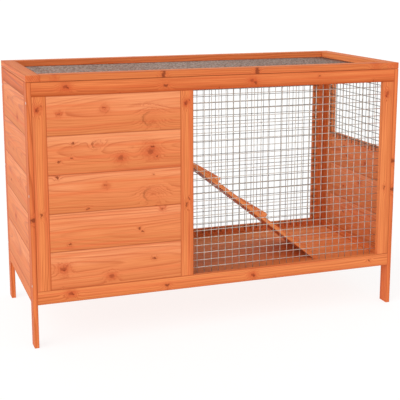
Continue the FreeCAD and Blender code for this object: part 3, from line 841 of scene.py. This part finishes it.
@dataclass
class Boards:
    """Dresses every board that came with the frame.

    Attributes:
        lies: for each kind of board, the axis of its grain and the axis out of its face.
        knots: the knots that stand out, by board.
        flat_over: millimetres of width over which a board is flat-sawn.
    """

    lies: dict[str, tuple[str, str]] = field(default_factory=lambda: {
        "leg": ("Z", "X"),
        "front_rail": ("X", "-Y"), "back_rail": ("-X", "Y"),
        "left_rail": ("-Y", "-X"), "right_rail": ("Y", "X"),
        "front_stile": ("Z", "-Y"), "back_stile": ("Z", "Y"), "right_stile": ("Z", "X"),
        "front_plank": ("X", "-Y"), "door_plank": ("-X", "Y"),
        "left_plank": ("-Y", "-X"), "right_plank": ("Y", "X"),
        "floor_panel": ("X", "Z"), "deck_panel": ("X", "Z"), "deck_bearers": ("Y", "Z"),
        "door_ledges": ("Z", "Y"), "ramp_cleats": ("Y", "Z"),
        "lid_left_rail": ("Y", "Z"), "lid_right_rail": ("Y", "Z"),
        "lid_front_rail": ("X", "Z"), "lid_back_rail": ("X", "Z"),
    })
    knots: dict[str, tuple[Knot, ...]] = field(default_factory=lambda: {
        "front_plank_5": (Knot(97, -18, 11, KnotLook.RINGED), Knot(-26, 14, 4, KnotLook.RED),
                          Knot(-140, 6, 3.5, KnotLook.RED)),
        "front_plank_4": (Knot(92, -4, 9, KnotLook.RED), Knot(108, -18, 3), Knot(96, 8, 2.5),
                          Knot(14, -16, 7, KnotLook.RED), Knot(-46, 22, 6, KnotLook.RINGED),
                          Knot(-107, 28, 3), Knot(-111, -8, 2.2), Knot(-143, -16, 2.6)),
        "front_plank_3": (Knot(97, -18, 11, KnotLook.RINGED), Knot(-26, 14, 4, KnotLook.RED),
                          Knot(-148, 43, 3), Knot(-72, -41, 2.6)),
        "front_plank_2": (Knot(60, -6, 3), Knot(68, -16, 2.4), Knot(-121, -32, 3),
                          Knot(122, 40, 3.5, KnotLook.RED)),
        "front_plank_1": (Knot(-140, 5, 7, KnotLook.RED), Knot(-138, 0, 2.4), Knot(98, 8, 3),
                          Knot(-16, -28, 6, KnotLook.RED)),
        "front_top_rail": (Knot(-413, 4, 6, KnotLook.RED), Knot(-409, 2, 2.5),
                           Knot(-160, -3, 4.6), Knot(76, 2, 5, KnotLook.RED), Knot(85, -5, 3.6),
                           Knot(270, 6, 2.4)),
        "front_bottom_rail": (Knot(-413, 4, 6, KnotLook.RED), Knot(-409, 2, 2.5),
                              Knot(-160, -3, 4.6), Knot(82, 0, 5, KnotLook.RED),
                              Knot(86, -4, 3), Knot(440, 3, 3)),
        "front_left_stile": (Knot(213, 4, 5, KnotLook.RED), Knot(212, 6, 2.4), Knot(222, -6, 2.2),
                             Knot(-50, 2, 4.4)),
        "front_middle_stile": (Knot(213, 2, 5, KnotLook.RED), Knot(212, 4, 2.4),
                               Knot(221, -6, 2.2), Knot(-52, 2, 4.2), Knot(-36, -6, 2)),
        "front_right_stile": (Knot(213, 2, 5, KnotLook.RED), Knot(206, 6, 2.4),
                              Knot(-52, 2, 4)),
        "lid_front_rail": (Knot(-165, -17, 4.4), Knot(90, -17, 4),
                           Knot(-440, -12, 4, KnotLook.RED), Knot(440, -8, 6, KnotLook.RED)),
        "lid_back_rail": (Knot(-130, 0, 5), Knot(140, 0, 5, KnotLook.RED)),
        "leg_front_left": (Knot(-250, 4, 3), Knot(-4, 17, 4)),
        "leg_front_right": (Knot(-210, -6, 3), Knot(-3, 17, 4), Knot(78, 17, 4)),
        "left_plank_5": (Knot(-100, 10, 4), Knot(60, -20, 6, KnotLook.RED)),
        "left_plank_3": (Knot(80, 8, 7, KnotLook.RINGED), Knot(-90, -20, 3)),
        "left_plank_2": (Knot(-30, -10, 6, KnotLook.RED), Knot(150, -34, 3.4)),
        "right_plank_3": (Knot(60, 16, 4), Knot(40, -10, 3.4), Knot(-70, -14, 5, KnotLook.RED)),
        "right_plank_2": (Knot(60, -10, 3.4), Knot(-40, 20, 5, KnotLook.RED)),
        "right_plank_1": (Knot(56, 8, 3.4), Knot(-100, -8, 6, KnotLook.RINGED)),
        "door_plank_5": (Knot(60, 12, 6, KnotLook.RED), Knot(-100, -20, 3)),
        "door_plank_4": (Knot(-40, -12, 9, KnotLook.RINGED), Knot(122, 16, 3)),
        "door_plank_3": (Knot(84, 6, 4), Knot(-120, 24, 5, KnotLook.RED)),
        "door_plank_2": (Knot(-20, -20, 5, KnotLook.RED), Knot(-60, 14, 2.8)),
        "door_plank_1": (Knot(110, 4, 8, KnotLook.RINGED), Knot(-90, -16, 3)),
    })
    flat_over: float = 60.0

    def dress(self) -> None:
        """Gives every board its own stained fir."""
        for name, node in sorted(frame["nodes"].items()):
            if name == "ramp_board":
                # The ramp takes the paler inner fir, which is painted light.
                self._paint(node, LIT_INNER_FIR.make(name, self._ramp()))
                continue
            kind = self._kind(name)
            if kind is None:
                continue
            finish = self._finish(name)
            self._paint(node, finish.make(name, self._board(name, *self.lies[kind])))
            log.info("%s: fir, grain along %s", name, self.lies[kind][0])

    def _kind(self, name: str) -> str | None:
        """Reads the kind of board out of a node's name.

        Args:
            name: the node.
        Returns:
            The kind, or None if the node is no board.
        """
        if name in self.lies:
            return name
        words = name.split("_")
        for kind in (words[0], f"{words[0]}_{words[-1]}", "_".join(words[:-1])):
            if kind in self.lies:
                return kind
        return None

    def _finish(self, name: str) -> StainedFir:
        """Picks the fir: wall planks are paler than frame timber; inner boards get painted light.

        Args:
            name: the board's node.
        Returns:
            Its fir.
        """
        if "plank" in name:
            return WALL_FIR
        if name.startswith("leg"):
            return LEG_FIR
        if name.endswith("top_rail"):
            return TOP_RAIL_FIR
        # The floor, deck, ramp and door ledges lie in the run's shade; their paler fir is painted
        # light.
        inner = name.startswith(("floor", "deck", "ramp", "door_ledges"))
        return LIT_INNER_FIR if inner else FRAME_FIR

    def _board(self, name: str, grain: str, face: str) -> Board:
        """Works out from the frame how a board lies.

        Args:
            name: the board's node.
            grain: the axis of its fibres.
            face: the axis out of its wide face.
        Returns:
            The board.
        """
        low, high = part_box(name)
        extent = (high - low) / MM
        across = AXES[face].cross(AXES[grain])
        axes = (AXES[grain], across, AXES[face])
        size = Vector(tuple(abs(extent.dot(axis)) for axis in axes))
        wide = size.y > self.flat_over
        return Board(centre=(low + high) / 2, size=size, grain=AXES[grain], face=AXES[face],
                     sawing=Sawing.FLAT if wide else Sawing.RIFT,
                     knots=self.knots.get(name, ()),
                     single=name not in ("deck_bearers", "door_ledges", "ramp_cleats"))

    def _ramp(self) -> Board:
        """Works out from the frame how the sloping ramp lies.

        Returns:
            The ramp, with its grain down the slope.
        """
        low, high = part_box("ramp_board")
        extent = high - low
        grain = Vector((extent.x, 0, -extent.z)).normalized()
        return Board(centre=(low + high) / 2,
                     size=Vector((extent.length, extent.y, extent.y)) / MM, grain=grain,
                     face=Vector((extent.z, 0, extent.x)).normalized(), sawing=Sawing.FLAT,
                     knots=(Knot(-90, 40, 3), Knot(120, -50, 6, KnotLook.RED)), single=False)

    def _paint(self, node: bpy.types.Object, material: bpy.types.Material) -> None:
        """Puts a material in every slot of a CAD node.

        Args:
            node: the CAD node's object.
            material: its finish.
        """
        for slot in node.material_slots:
            slot.material = material


# ---------------------------------------------------------------- welded mesh
@dataclass
class WeldedSheet:
    """A sheet of welded mesh: two layers of round wire, pressed together where they cross.

    Attributes:
        node: the CAD sheet that it stands for.
        body: the body that it rides on.
        axes: the two axes that the wires run along; the first is the outer layer's.
        normal: the axis through the sheet.
        outside: 1 where the outer layer is at the sheet's high side, or -1.
        staple_rows: how many cells there are from staple to staple.
        pitch: wire to wire, in millimetres.
        wire: diameter of the wire.
        lap: sheet lapped over its frame.
        cropped: small edge that the cutter leaves at a wire's end.
        weld: radius of a weld spot, in wire diameters.
        squeeze: how much of its height a weld spot loses to the electrodes.
    """

    node: str
    body: str
    axes: str
    normal: str
    outside: int
    staple_rows: int = 4
    pitch: float = 20.0
    wire: float = 1.8
    lap: float = 15.0
    cropped: float = 0.2
    weld: float = 0.72
    squeeze: float = 0.45

    def build(self, wire_finish: bpy.types.Material, staple_finish: bpy.types.Material) -> None:
        """Models the wires, the weld spots and the staples.

        Args:
            wire_finish: the wire's material.
            staple_finish: the staples' material.
        """
        low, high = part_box(self.node)
        first, second = (AXES[axis] for axis in self.axes)
        normal = AXES[self.normal]
        outer_level = (high if self.outside > 0 else low).dot(normal)
        inner_level = (low if self.outside > 0 else high).dot(normal)
        inward = -self.outside * self.wire * MM / 2
        layers = []
        for run, step, level in ((first, second, outer_level + inward),
                                 (second, first, inner_level - inward)):
            layers.append(self._layer(low, high, run, step, normal, level))
        layers.append(self._welds(low, high, first, second, normal,
                                  (outer_level + inner_level) / 2))
        sheet = join_pieces(layers, f"{self.node}_wires")
        hand_over(sheet, self.body, "welded_wire", wire_finish, self.node)
        staples = self._staples(low, high, (first, second), normal, inner_level)
        hand_over(staples, self.body, "zinc_screws", staple_finish)

    def _stations(self, low: Vector, high: Vector, along: Vector) -> tuple[float, int]:
        """Spaces the wires evenly about the middle of the sheet.

        Args:
            low: the sheet's lowest corner.
            high: its highest corner.
            along: the axis from wire to wire.
        Returns:
            The first wire's station along the axis, in metres, and how many wires there are.
        """
        span = (high - low).dot(along) / MM
        cells = int((span - 2 * self.lap) / self.pitch + 1e-4) + 1
        middle = (high + low).dot(along) / 2
        return middle - cells * self.pitch * MM / 2, cells + 1

    def _layer(self, low: Vector, high: Vector, run: Vector, step: Vector, normal: Vector,
               level: float) -> bpy.types.Object:
        """Models one layer of wires.

        Args:
            low: the sheet's lowest corner.
            high: its highest corner.
            run: the axis that the wires run along.
            step: the axis from wire to wire.
            normal: the axis through the sheet.
            level: the wires' middle along the normal.
        Returns:
            The row of wires.
        """
        start, count = self._stations(low, high, step)
        length = (high - low).dot(run)
        middle = run * (high + low).dot(run) / 2 + step * start + normal * level
        turned = Vector((0, 0, 1)).rotation_difference(run).to_euler()
        sides = 8
        deselect()
        bpy.ops.mesh.primitive_cylinder_add(vertices=sides, radius=self.wire * MM / 2,
                                            depth=length, location=middle, rotation=turned)
        wire = bpy.context.object
        bpy.ops.object.mode_set(mode="EDIT")
        select_in_edit(wire, "faces", lambda face: len(face.verts) == sides)
        bpy.ops.mesh.bevel(offset=self.cropped * MM, segments=1, affect="EDGES")
        bpy.ops.object.mode_set(mode="OBJECT")
        finish_mesh(wire, 50)
        repeat_along(wire, step * self.pitch * MM, count)
        return wire

    def _welds(self, low: Vector, high: Vector, first: Vector, second: Vector, normal: Vector,
               level: float) -> bpy.types.Object:
        """Models the squeezed metal at each crossing, once, and repeats it over the sheet.

        Args:
            low: the sheet's lowest corner.
            high: its highest corner.
            first: one axis of the sheet.
            second: its other axis.
            normal: the axis through the sheet.
            level: the sheet's middle along the normal.
        Returns:
            The weld spots.
        """
        first_start, first_count = self._stations(low, high, first)
        second_start, second_count = self._stations(low, high, second)
        deselect()
        bpy.ops.mesh.primitive_uv_sphere_add(
            segments=8, ring_count=4, radius=self.weld * self.wire * MM,
            location=first * first_start + second * second_start + normal * level)
        weld = bpy.context.object
        squeezed = Vector((1, 1, 1)) - normal * self.squeeze
        bpy.ops.object.mode_set(mode="EDIT")
        bpy.ops.mesh.select_all(action="SELECT")
        bpy.ops.transform.resize(value=squeezed, center_override=weld.location)
        bpy.ops.object.mode_set(mode="OBJECT")
        finish_mesh(weld, 80)
        repeat_along(weld, first * self.pitch * MM, first_count)
        repeat_along(weld, second * self.pitch * MM, second_count)
        return weld

    def _staples(self, low: Vector, high: Vector, axes: tuple[Vector, Vector], normal: Vector,
                 level: float) -> bpy.types.Object:
        """Drives staples over the outermost wires, into the frame round the opening.

        Args:
            low: the sheet's lowest corner.
            high: its highest corner.
            axes: the two axes of the sheet.
            normal: the axis through the sheet.
            level: the sheet's inner side along the normal.
        Returns:
            All the staples of the sheet.
        """
        outward = normal * -self.outside
        places = []
        for run, step in (axes, axes[::-1]):
            run_start, run_count = self._stations(low, high, run)
            edge_start, edge_count = self._stations(low, high, step)
            edges = (edge_start, edge_start + (edge_count - 1) * self.pitch * MM)
            for row in range(1, run_count - 1, self.staple_rows):
                along = run_start + (row + 0.5) * self.pitch * MM
                for edge in edges:
                    spot = run * along + step * edge + normal * level
                    turned = Matrix((step, outward.cross(step), outward)).transposed()
                    places.append(Matrix.Translation(spot) @ turned.to_4x4())
        return copies_at(model_staple(), places, f"{self.node}_staples")


def model_staple() -> bpy.types.Object:
    """Models a narrow-crown staple whose crown lies on the XY plane and whose legs go down.

    Returns:
        The staple, at the origin.
    """
    crown, width, gauge, leg, bend = 6.6 * MM, 1.1 * MM, 0.6 * MM, 7.0 * MM, 0.4 * MM
    staple = start_block((crown, width, gauge), (0, 0, 0))
    for side in (-1, 1):
        bpy.ops.mesh.select_all(action="SELECT")
        bpy.ops.mesh.bisect(plane_co=(side * (crown / 2 - gauge), 0, 0), plane_no=(1, 0, 0))
    select_in_edit(staple, "faces", lambda face: face.normal.z < -0.9
                   and abs(face.calc_center_median().x) > crown / 2 - gauge)
    bpy.ops.mesh.extrude_region_move(TRANSFORM_OT_translate={"value": (0, 0, -leg)})
    select_in_edit(staple, "edges", lambda edge: all(
        abs(corner.co.x) > crown / 2 - 0.1 * gauge and corner.co.z > 0 for corner in edge.verts))
    bpy.ops.mesh.bevel(offset=bend, segments=2, affect="EDGES")
    bpy.ops.object.mode_set(mode="OBJECT")
    finish_mesh(staple, 40)
    return staple


# ---------------------------------------------------------------- screws
@dataclass
class CrossScrew:
    """A cross-head wood screw, turned from a row of stations and stamped with a cross.

    Attributes:
        head_radius: in millimetres.
        proud: the head above the surface that it sits on.
        shank_radius: of the shank.
        length: under the head.
    """

    head_radius: float
    proud: float
    shank_radius: float
    length: float

    def model(self) -> bpy.types.Object:
        """Models the screw with its seat at the origin and its head towards +Z.

        Returns:
            The screw.
        """
        rim = self.head_radius
        sink = rim - self.shank_radius
        stations = [(0.12 * self.shank_radius, -self.length),
                    (self.shank_radius, -self.length + 2.5 * self.shank_radius),
                    (self.shank_radius, -sink), (0.97 * rim, -0.1 * self.proud),
                    (rim, 0.15 * self.proud), (0.93 * rim, 0.55 * self.proud),
                    (0.72 * rim, 0.85 * self.proud), (0.4 * rim, self.proud)]
        deselect()
        bpy.ops.mesh.primitive_circle_add(vertices=24, radius=stations[0][0] * MM,
                                          fill_type="NGON", location=(0, 0, 0))
        screw = bpy.context.object
        bpy.ops.object.mode_set(mode="EDIT")
        bpy.ops.mesh.select_all(action="SELECT")
        bpy.ops.transform.translate(value=(0, 0, stations[0][1] * MM))
        for (radius, height), (wider, higher) in zip(stations, stations[1:]):
            rise = (0, 0, (higher - height) * MM)
            bpy.ops.mesh.extrude_region_move(TRANSFORM_OT_translate={"value": rise})
            bpy.ops.transform.resize(value=(wider / radius, wider / radius, 1),
                                     center_override=(0, 0, higher * MM))
        bpy.ops.object.mode_set(mode="OBJECT")
        finish_mesh(screw, 40)
        self._stamp(screw)
        return screw

    def _stamp(self, screw: bpy.types.Object) -> None:
        """Sinks the cross into the head.

        Args:
            screw: the turned screw, which keeps the cross.
        """
        reach, slot, deep = (share * self.head_radius * MM for share in (1.05, 0.22, 0.9))
        top, tip = self.proud * MM, 0.55
        for size in ((reach, slot, deep), (slot, reach, deep)):
            punch = start_block(size, (0, 0, top))
            # The punch narrows towards its tip.
            select_in_edit(punch, "faces", lambda face: face.normal.z < -0.9)
            bpy.ops.transform.resize(value=(tip, tip, 1), center_override=(0, 0, top - deep / 2))
            bpy.ops.object.mode_set(mode="OBJECT")
            cut_away(screw, punch)


def seat(point: Vector, outward: Vector) -> Matrix:
    """Works out the place of a screw.

    Args:
        point: where its head sits.
        outward: unit vector that its head faces along.
    Returns:
        The place, as a matrix.
    """
    return Matrix.Translation(point) @ outward.to_track_quat("Z", "Y").to_matrix().to_4x4()


def joint_pin(name: str) -> Vector:
    """Reads from the record where a joint turns.

    Args:
        name: the joint.
    Returns:
        A point on its axis, in metres.
    """
    return next(Vector(joint["pos_m"]) for joint in frame["joints"] if joint["name"] == name)


@dataclass
class WoodScrews:
    """The screws through the legs into the walls, and the screw of the turn button.

    Attributes:
        edge_inset: from the front or back of the hutch to the screws, half a board.
        end_inset: from the bottom or top of the walls to the end screws.
        rows: screws up each corner.
        corner: the screw of the corners.
        pivot: the screw of the turn button.
    """

    edge_inset: float = 6.0
    end_inset: float = 50.0
    rows: int = 3
    corner: CrossScrew = field(default_factory=lambda: CrossScrew(3.6, 0.6, 2.0, 40.0))
    pivot: CrossScrew = field(default_factory=lambda: CrossScrew(3.6, 0.6, 2.0, 19.0))

    def build(self, finish: bpy.types.Material) -> None:
        """Models both kinds of screw and drives them home.

        Args:
            finish: their material.
        """
        left_low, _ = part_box("leg_front_left")
        _, right_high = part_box("leg_back_right")
        wall_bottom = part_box("front_bottom_rail")[0].z
        wall_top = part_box("front_top_rail")[1].z
        ends = (left_low.x, right_high.x)
        lines = (left_low.y + self.edge_inset * MM, right_high.y - self.edge_inset * MM)
        lowest = wall_bottom + self.end_inset * MM
        step = (wall_top - wall_bottom - 2 * self.end_inset * MM) / (self.rows - 1)
        places = [seat(Vector((end, line, lowest + row * step)), Vector((side, 0, 0)))
                  for end, side in zip(ends, (-1, 1)) for line in lines
                  for row in range(self.rows)]
        corners = copies_at(self.corner.model(), places, "corner_screws")
        hand_over(corners, "frame", "zinc_screws", finish, "wood_screws")
        button_low, button_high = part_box("turn_button")
        middle = (button_low + button_high) / 2
        outside = Vector((middle.x, button_high.y + 0.1 * MM, middle.z))
        pivot = copies_at(self.pivot.model(), [seat(outside, Vector((0, 1, 0)))],
                          "turn_button_screw")
        hand_over(pivot, "frame", "zinc_screws", finish, "wood_screws")


@dataclass(frozen=True)
class LeafHoles:
    """Where the screws of one size of hinge leaf are, in millimetres.

    Attributes:
        length: of the leaf, along its pin.
        insets: from the leaf's end to each screw.
        depths: from the pin to each screw, taken in turn.
    """

    length: float
    insets: tuple[float, ...]
    depths: tuple[float, ...]


@dataclass
class HingeScrews:
    """The small screws that hold the hinge leaves.

    Attributes:
        screw: the screw of every leaf.
        knuckle: radius of the knuckles, in millimetres.
        leaf: thickness of the leaves.
        lid: the holes in a lid hinge's leaf.
        door: the holes in a door hinge's leaf.
        ramp: the holes in a ramp hinge's leaf.
    """

    screw: CrossScrew = field(default_factory=lambda: CrossScrew(2.5, 0.45, 1.3, 9.0))
    knuckle: float = 3.0
    leaf: float = 1.5
    lid: LeafHoles = LeafHoles(60, (9, 30, 51), (9.2,))
    door: LeafHoles = LeafHoles(50, (8, 25, 42), (10, 17))
    ramp: LeafHoles = LeafHoles(40, (9, 31), (13,))

    def build(self, finish: bpy.types.Material) -> None:
        """Drives the screws of the lid's, the door's and the ramp's hinges.

        Args:
            finish: their material.
        """
        right, back, up = AXES["X"], AXES["Y"], AXES["Z"]
        ramp_low, ramp_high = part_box("ramp_board")
        fall = Vector((ramp_high.x - ramp_low.x, 0, ramp_low.z - ramp_high.z)).normalized()
        out_of_ramp = Vector((-fall.z, 0, fall.x))
        # node, body, joint, along the pin, away from the pin, out of the leaf, holes
        leaves = (
            ("lid_hinge_wall_leaves", "frame", "lid_hinge", right, -up, back, self.lid),
            ("lid_hinge_lid_leaves", "lid", "lid_hinge", right, up, back, self.lid),
            ("door_hinge_frame_leaves", "frame", "nest_door_hinge", up, -right, back, self.door),
            ("door_hinge_door_leaves", "nest_door", "nest_door_hinge", up, right, back, self.door),
            ("ramp_hinge_deck_leaves", "frame", "ramp_hinge", back, -right, up, self.ramp),
            ("ramp_hinge_ramp_leaves", "ramp", "ramp_hinge", back, fall, out_of_ramp, self.ramp),
        )
        for node, body, joint, along, away, outward, holes in leaves:
            low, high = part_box(node)
            pin = joint_pin(joint)
            pin -= along * pin.dot(along)
            places = []
            for start in (low.dot(along), high.dot(along) - holes.length * MM):
                for index, inset in enumerate(holes.insets):
                    depth = holes.depths[index % len(holes.depths)]
                    point = pin + along * (start + inset * MM) + away * (depth * MM)
                    point -= outward * (self.knuckle - self.leaf) * MM
                    places.append(seat(point, outward))
            screws = copies_at(self.screw.model(), places, node.replace("leaves", "screws"))
            hand_over(screws, body, "zinc_screws", finish)


# ---------------------------------------------------------------- turn button
@dataclass
class TurnButton:
    """The wooden button on the back that turns on its screw and holds the nest door.

    Attributes:
        round_share: corner radius as a share of half the button's width.
        ease: rounding of its edges, in millimetres.
        bore: radius of the hole for its screw.
    """

    round_share: float = 0.97
    ease: float = 1.2
    bore: float = 2.4

    def build(self) -> None:
        """Models the button in the room that its CAD node takes."""
        low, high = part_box("turn_button")
        middle, extent = (low + high) / 2, high - low
        button = start_block(extent, middle)
        through = AXES["Y"]
        select_in_edit(button, "edges", lambda edge: abs(
            (edge.verts[0].co - edge.verts[1].co).normalized().dot(through)) > 0.9)
        bpy.ops.mesh.bevel(offset=self.round_share * extent.x / 2, segments=8, affect="EDGES")
        select_in_edit(button, "faces", lambda face: abs(face.normal.dot(through)) > 0.9)
        bpy.ops.mesh.bevel(offset=self.ease * MM, segments=3, affect="EDGES")
        bpy.ops.object.mode_set(mode="OBJECT")
        self._drill(button, middle, extent.y)
        finish_mesh(button, 35)
        button.name = "turn_button_rounded"
        board = Board(centre=middle, size=Vector((extent.z, extent.x, extent.y)) / MM,
                      grain=AXES["Z"], face=AXES["Y"], single=False)
        hand_over(button, "turn_button", "turned_wood", FRAME_FIR.make("turn_button", board),
                  "turn_button")

    def _drill(self, button: bpy.types.Object, middle: Vector, thickness: float) -> None:
        """Drills the hole for the screw.

        Args:
            button: the rounded button.
            middle: its middle, in metres.
            thickness: of the button, in metres.
        """
        deselect()
        bpy.ops.mesh.primitive_cylinder_add(vertices=24, radius=self.bore * MM,
                                            depth=2 * thickness, location=middle,
                                            rotation=(math.pi / 2, 0, 0))
        cut_away(button, bpy.context.object)


# ---------------------------------------------------------------- studio
@dataclass
class Studio:
    """A white shooting table, a white sky, a broad soft key light and a frontal fill.

    Attributes:
        floor_colour: of the table's opal acrylic.
        floor_glow: light that comes up through it.
        floor_size: its side, in metres, which reaches past the horizon that the camera sees.
        sky: strength of the light from all round.
        key: strength of the key light, at the front left.
        fill: strength of the fill light, low in front, which reaches into the run.
        spread: how broad both lights are, in degrees.
        towards_key: from the hutch to the key light.
        towards_fill: from the hutch to the fill light.
    """

    floor_colour: str = "#6e6e6d"
    floor_glow: float = 0.82
    floor_size: float = 160.0
    sky: float = 0.76
    key: float = 1.6
    fill: float = 0.85
    spread: float = 60.0
    towards_key: tuple[float, float, float] = (-0.85, -0.32, 0.62)
    towards_fill: tuple[float, float, float] = (-0.10, -1.0, 0.42)

    def build(self) -> None:
        """Makes the floor, the sky and the two lights."""
        bpy.ops.mesh.primitive_plane_add(size=self.floor_size, location=(0, 0, CAD_BOX[0].z))
        floor = bpy.context.object
        floor.name = "studio_floor"
        floor.data.materials.append(self._acrylic())
        world = bpy.data.worlds.new("white_studio")
        world.use_nodes = True
        air = world.node_tree.nodes["Background"]
        air.inputs["Color"].default_value = (1, 1, 1, 1)
        air.inputs["Strength"].default_value = self.sky
        bpy.context.scene.world = world
        self._lamp("soft_key", self.key, self.towards_key)
        self._lamp("soft_fill", self.fill, self.towards_fill)
        bpy.context.scene.view_settings.view_transform = "Standard"

    def _lamp(self, name: str, strength: float, towards: tuple[float, float, float]) -> None:
        """Hangs one broad lamp.

        Args:
            name: the lamp's name.
            strength: how strong it is.
            towards: from the hutch to the lamp.
        """
        light = bpy.data.lights.new(name, "SUN")
        light.energy = strength
        light.angle = math.radians(self.spread)
        lamp = bpy.data.objects.new(name, light)
        lamp.rotation_euler = Vector(towards).to_track_quat("Z", "Y").to_euler()
        bpy.context.scene.collection.objects.link(lamp)

    def _acrylic(self) -> bpy.types.Material:
        """Makes the table's matt opal acrylic, lit from below, which washes out every shadow.

        Returns:
            The material.
        """
        material = bpy.data.materials.new("opal_acrylic")
        material.use_nodes = True
        tree = material.node_tree
        shader = tree.nodes["Principled BSDF"]
        shader.inputs["Base Color"].default_value = linear(self.floor_colour)
        shader.inputs["Emission Color"].default_value = (1, 1, 1, 1)
        shader.inputs["Emission Strength"].default_value = self.floor_glow
        coordinates = add_node(tree, "ShaderNodeTexCoord")
        mottle = add_node(tree, "ShaderNodeTexNoise", {
            "Vector": coordinates.outputs["Object"], "Scale": 25.0, "Detail": 2.0})
        dullness = add_node(tree, "ShaderNodeMapRange", {
            "Value": mottle.outputs["Fac"], "To Min": 0.88, "To Max": 0.98})
        tree.links.new(dullness.outputs[0], shader.inputs["Roughness"])
        return material


@dataclass
class Viewpoint:
    """The camera: a long lens, a little above the lid and off the left front corner.

    Attributes:
        lens: in millimetres.
        yaw: how far it looks to the right of straight ahead, in degrees.
        pitch: how far it looks down.
        distance: to the point it looks at, in metres.
        aim: that point, from the middle of the hutch.
        rise: upward shift of the lens, as a share of the picture.
    """

    lens: float = 83.5
    yaw: float = 19.483
    pitch: float = 10.808
    distance: float = 2.644
    aim: tuple[float, float, float] = (0.0135, 0.0123, 0.0850)
    rise: float = -0.12

    def build(self) -> None:
        """Makes the camera and hands it to the scene."""
        data = bpy.data.cameras.new("viewpoint")
        data.lens = self.lens
        data.shift_y = self.rise
        camera = bpy.data.objects.new("viewpoint", data)
        yaw, pitch = math.radians(self.yaw), math.radians(self.pitch)
        ahead = Vector((math.sin(yaw) * math.cos(pitch), math.cos(yaw) * math.cos(pitch),
                        -math.sin(pitch)))
        middle = (CAD_BOX[0] + CAD_BOX[1]) / 2
        camera.location = middle + Vector(self.aim) - ahead * self.distance
        camera.rotation_euler = (math.pi / 2 - pitch, 0, -yaw)
        bpy.context.scene.collection.objects.link(camera)
        bpy.context.scene.camera = camera


def main() -> None:
    """Builds the studio, then every piece of the hutch in order."""
    logging.basicConfig(level=logging.INFO, format="%(name)s: %(message)s")
    Viewpoint().build()
    Studio().build()
    zinc = BrightZinc().make()
    wire = GalvanisedWire().make()
    # A lighter copy of the galvanised wire for the front mesh: painted light for the key light on
    # the front.
    lit_front_wire = GalvanisedWire(fresh="#d4cbc1", dull="#b0a69b").make()
    lid_wire = GalvanisedWire(fresh="#bfb2a8", dull="#95887f").make()
    Boards().dress()
    for name, node in frame["nodes"].items():
        if "hinge" in name:
            for slot in node.material_slots:
                slot.material = zinc
    # The front sheet takes the lighter copy of the wire, which is painted light.
    WeldedSheet("front_mesh", "frame", "XZ", "Y", -1).build(lit_front_wire, zinc)
    WeldedSheet("back_mesh", "frame", "XZ", "Y", 1).build(wire, zinc)
    WeldedSheet("right_mesh", "frame", "YZ", "X", 1, staple_rows=3).build(wire, zinc)
    WeldedSheet("lid_mesh", "lid", "XY", "Z", 1).build(lid_wire, zinc)
    WoodScrews().build(zinc)
    HingeScrews().build(zinc)
    TurnButton().build()


if __name__ == "__main__":
    main()
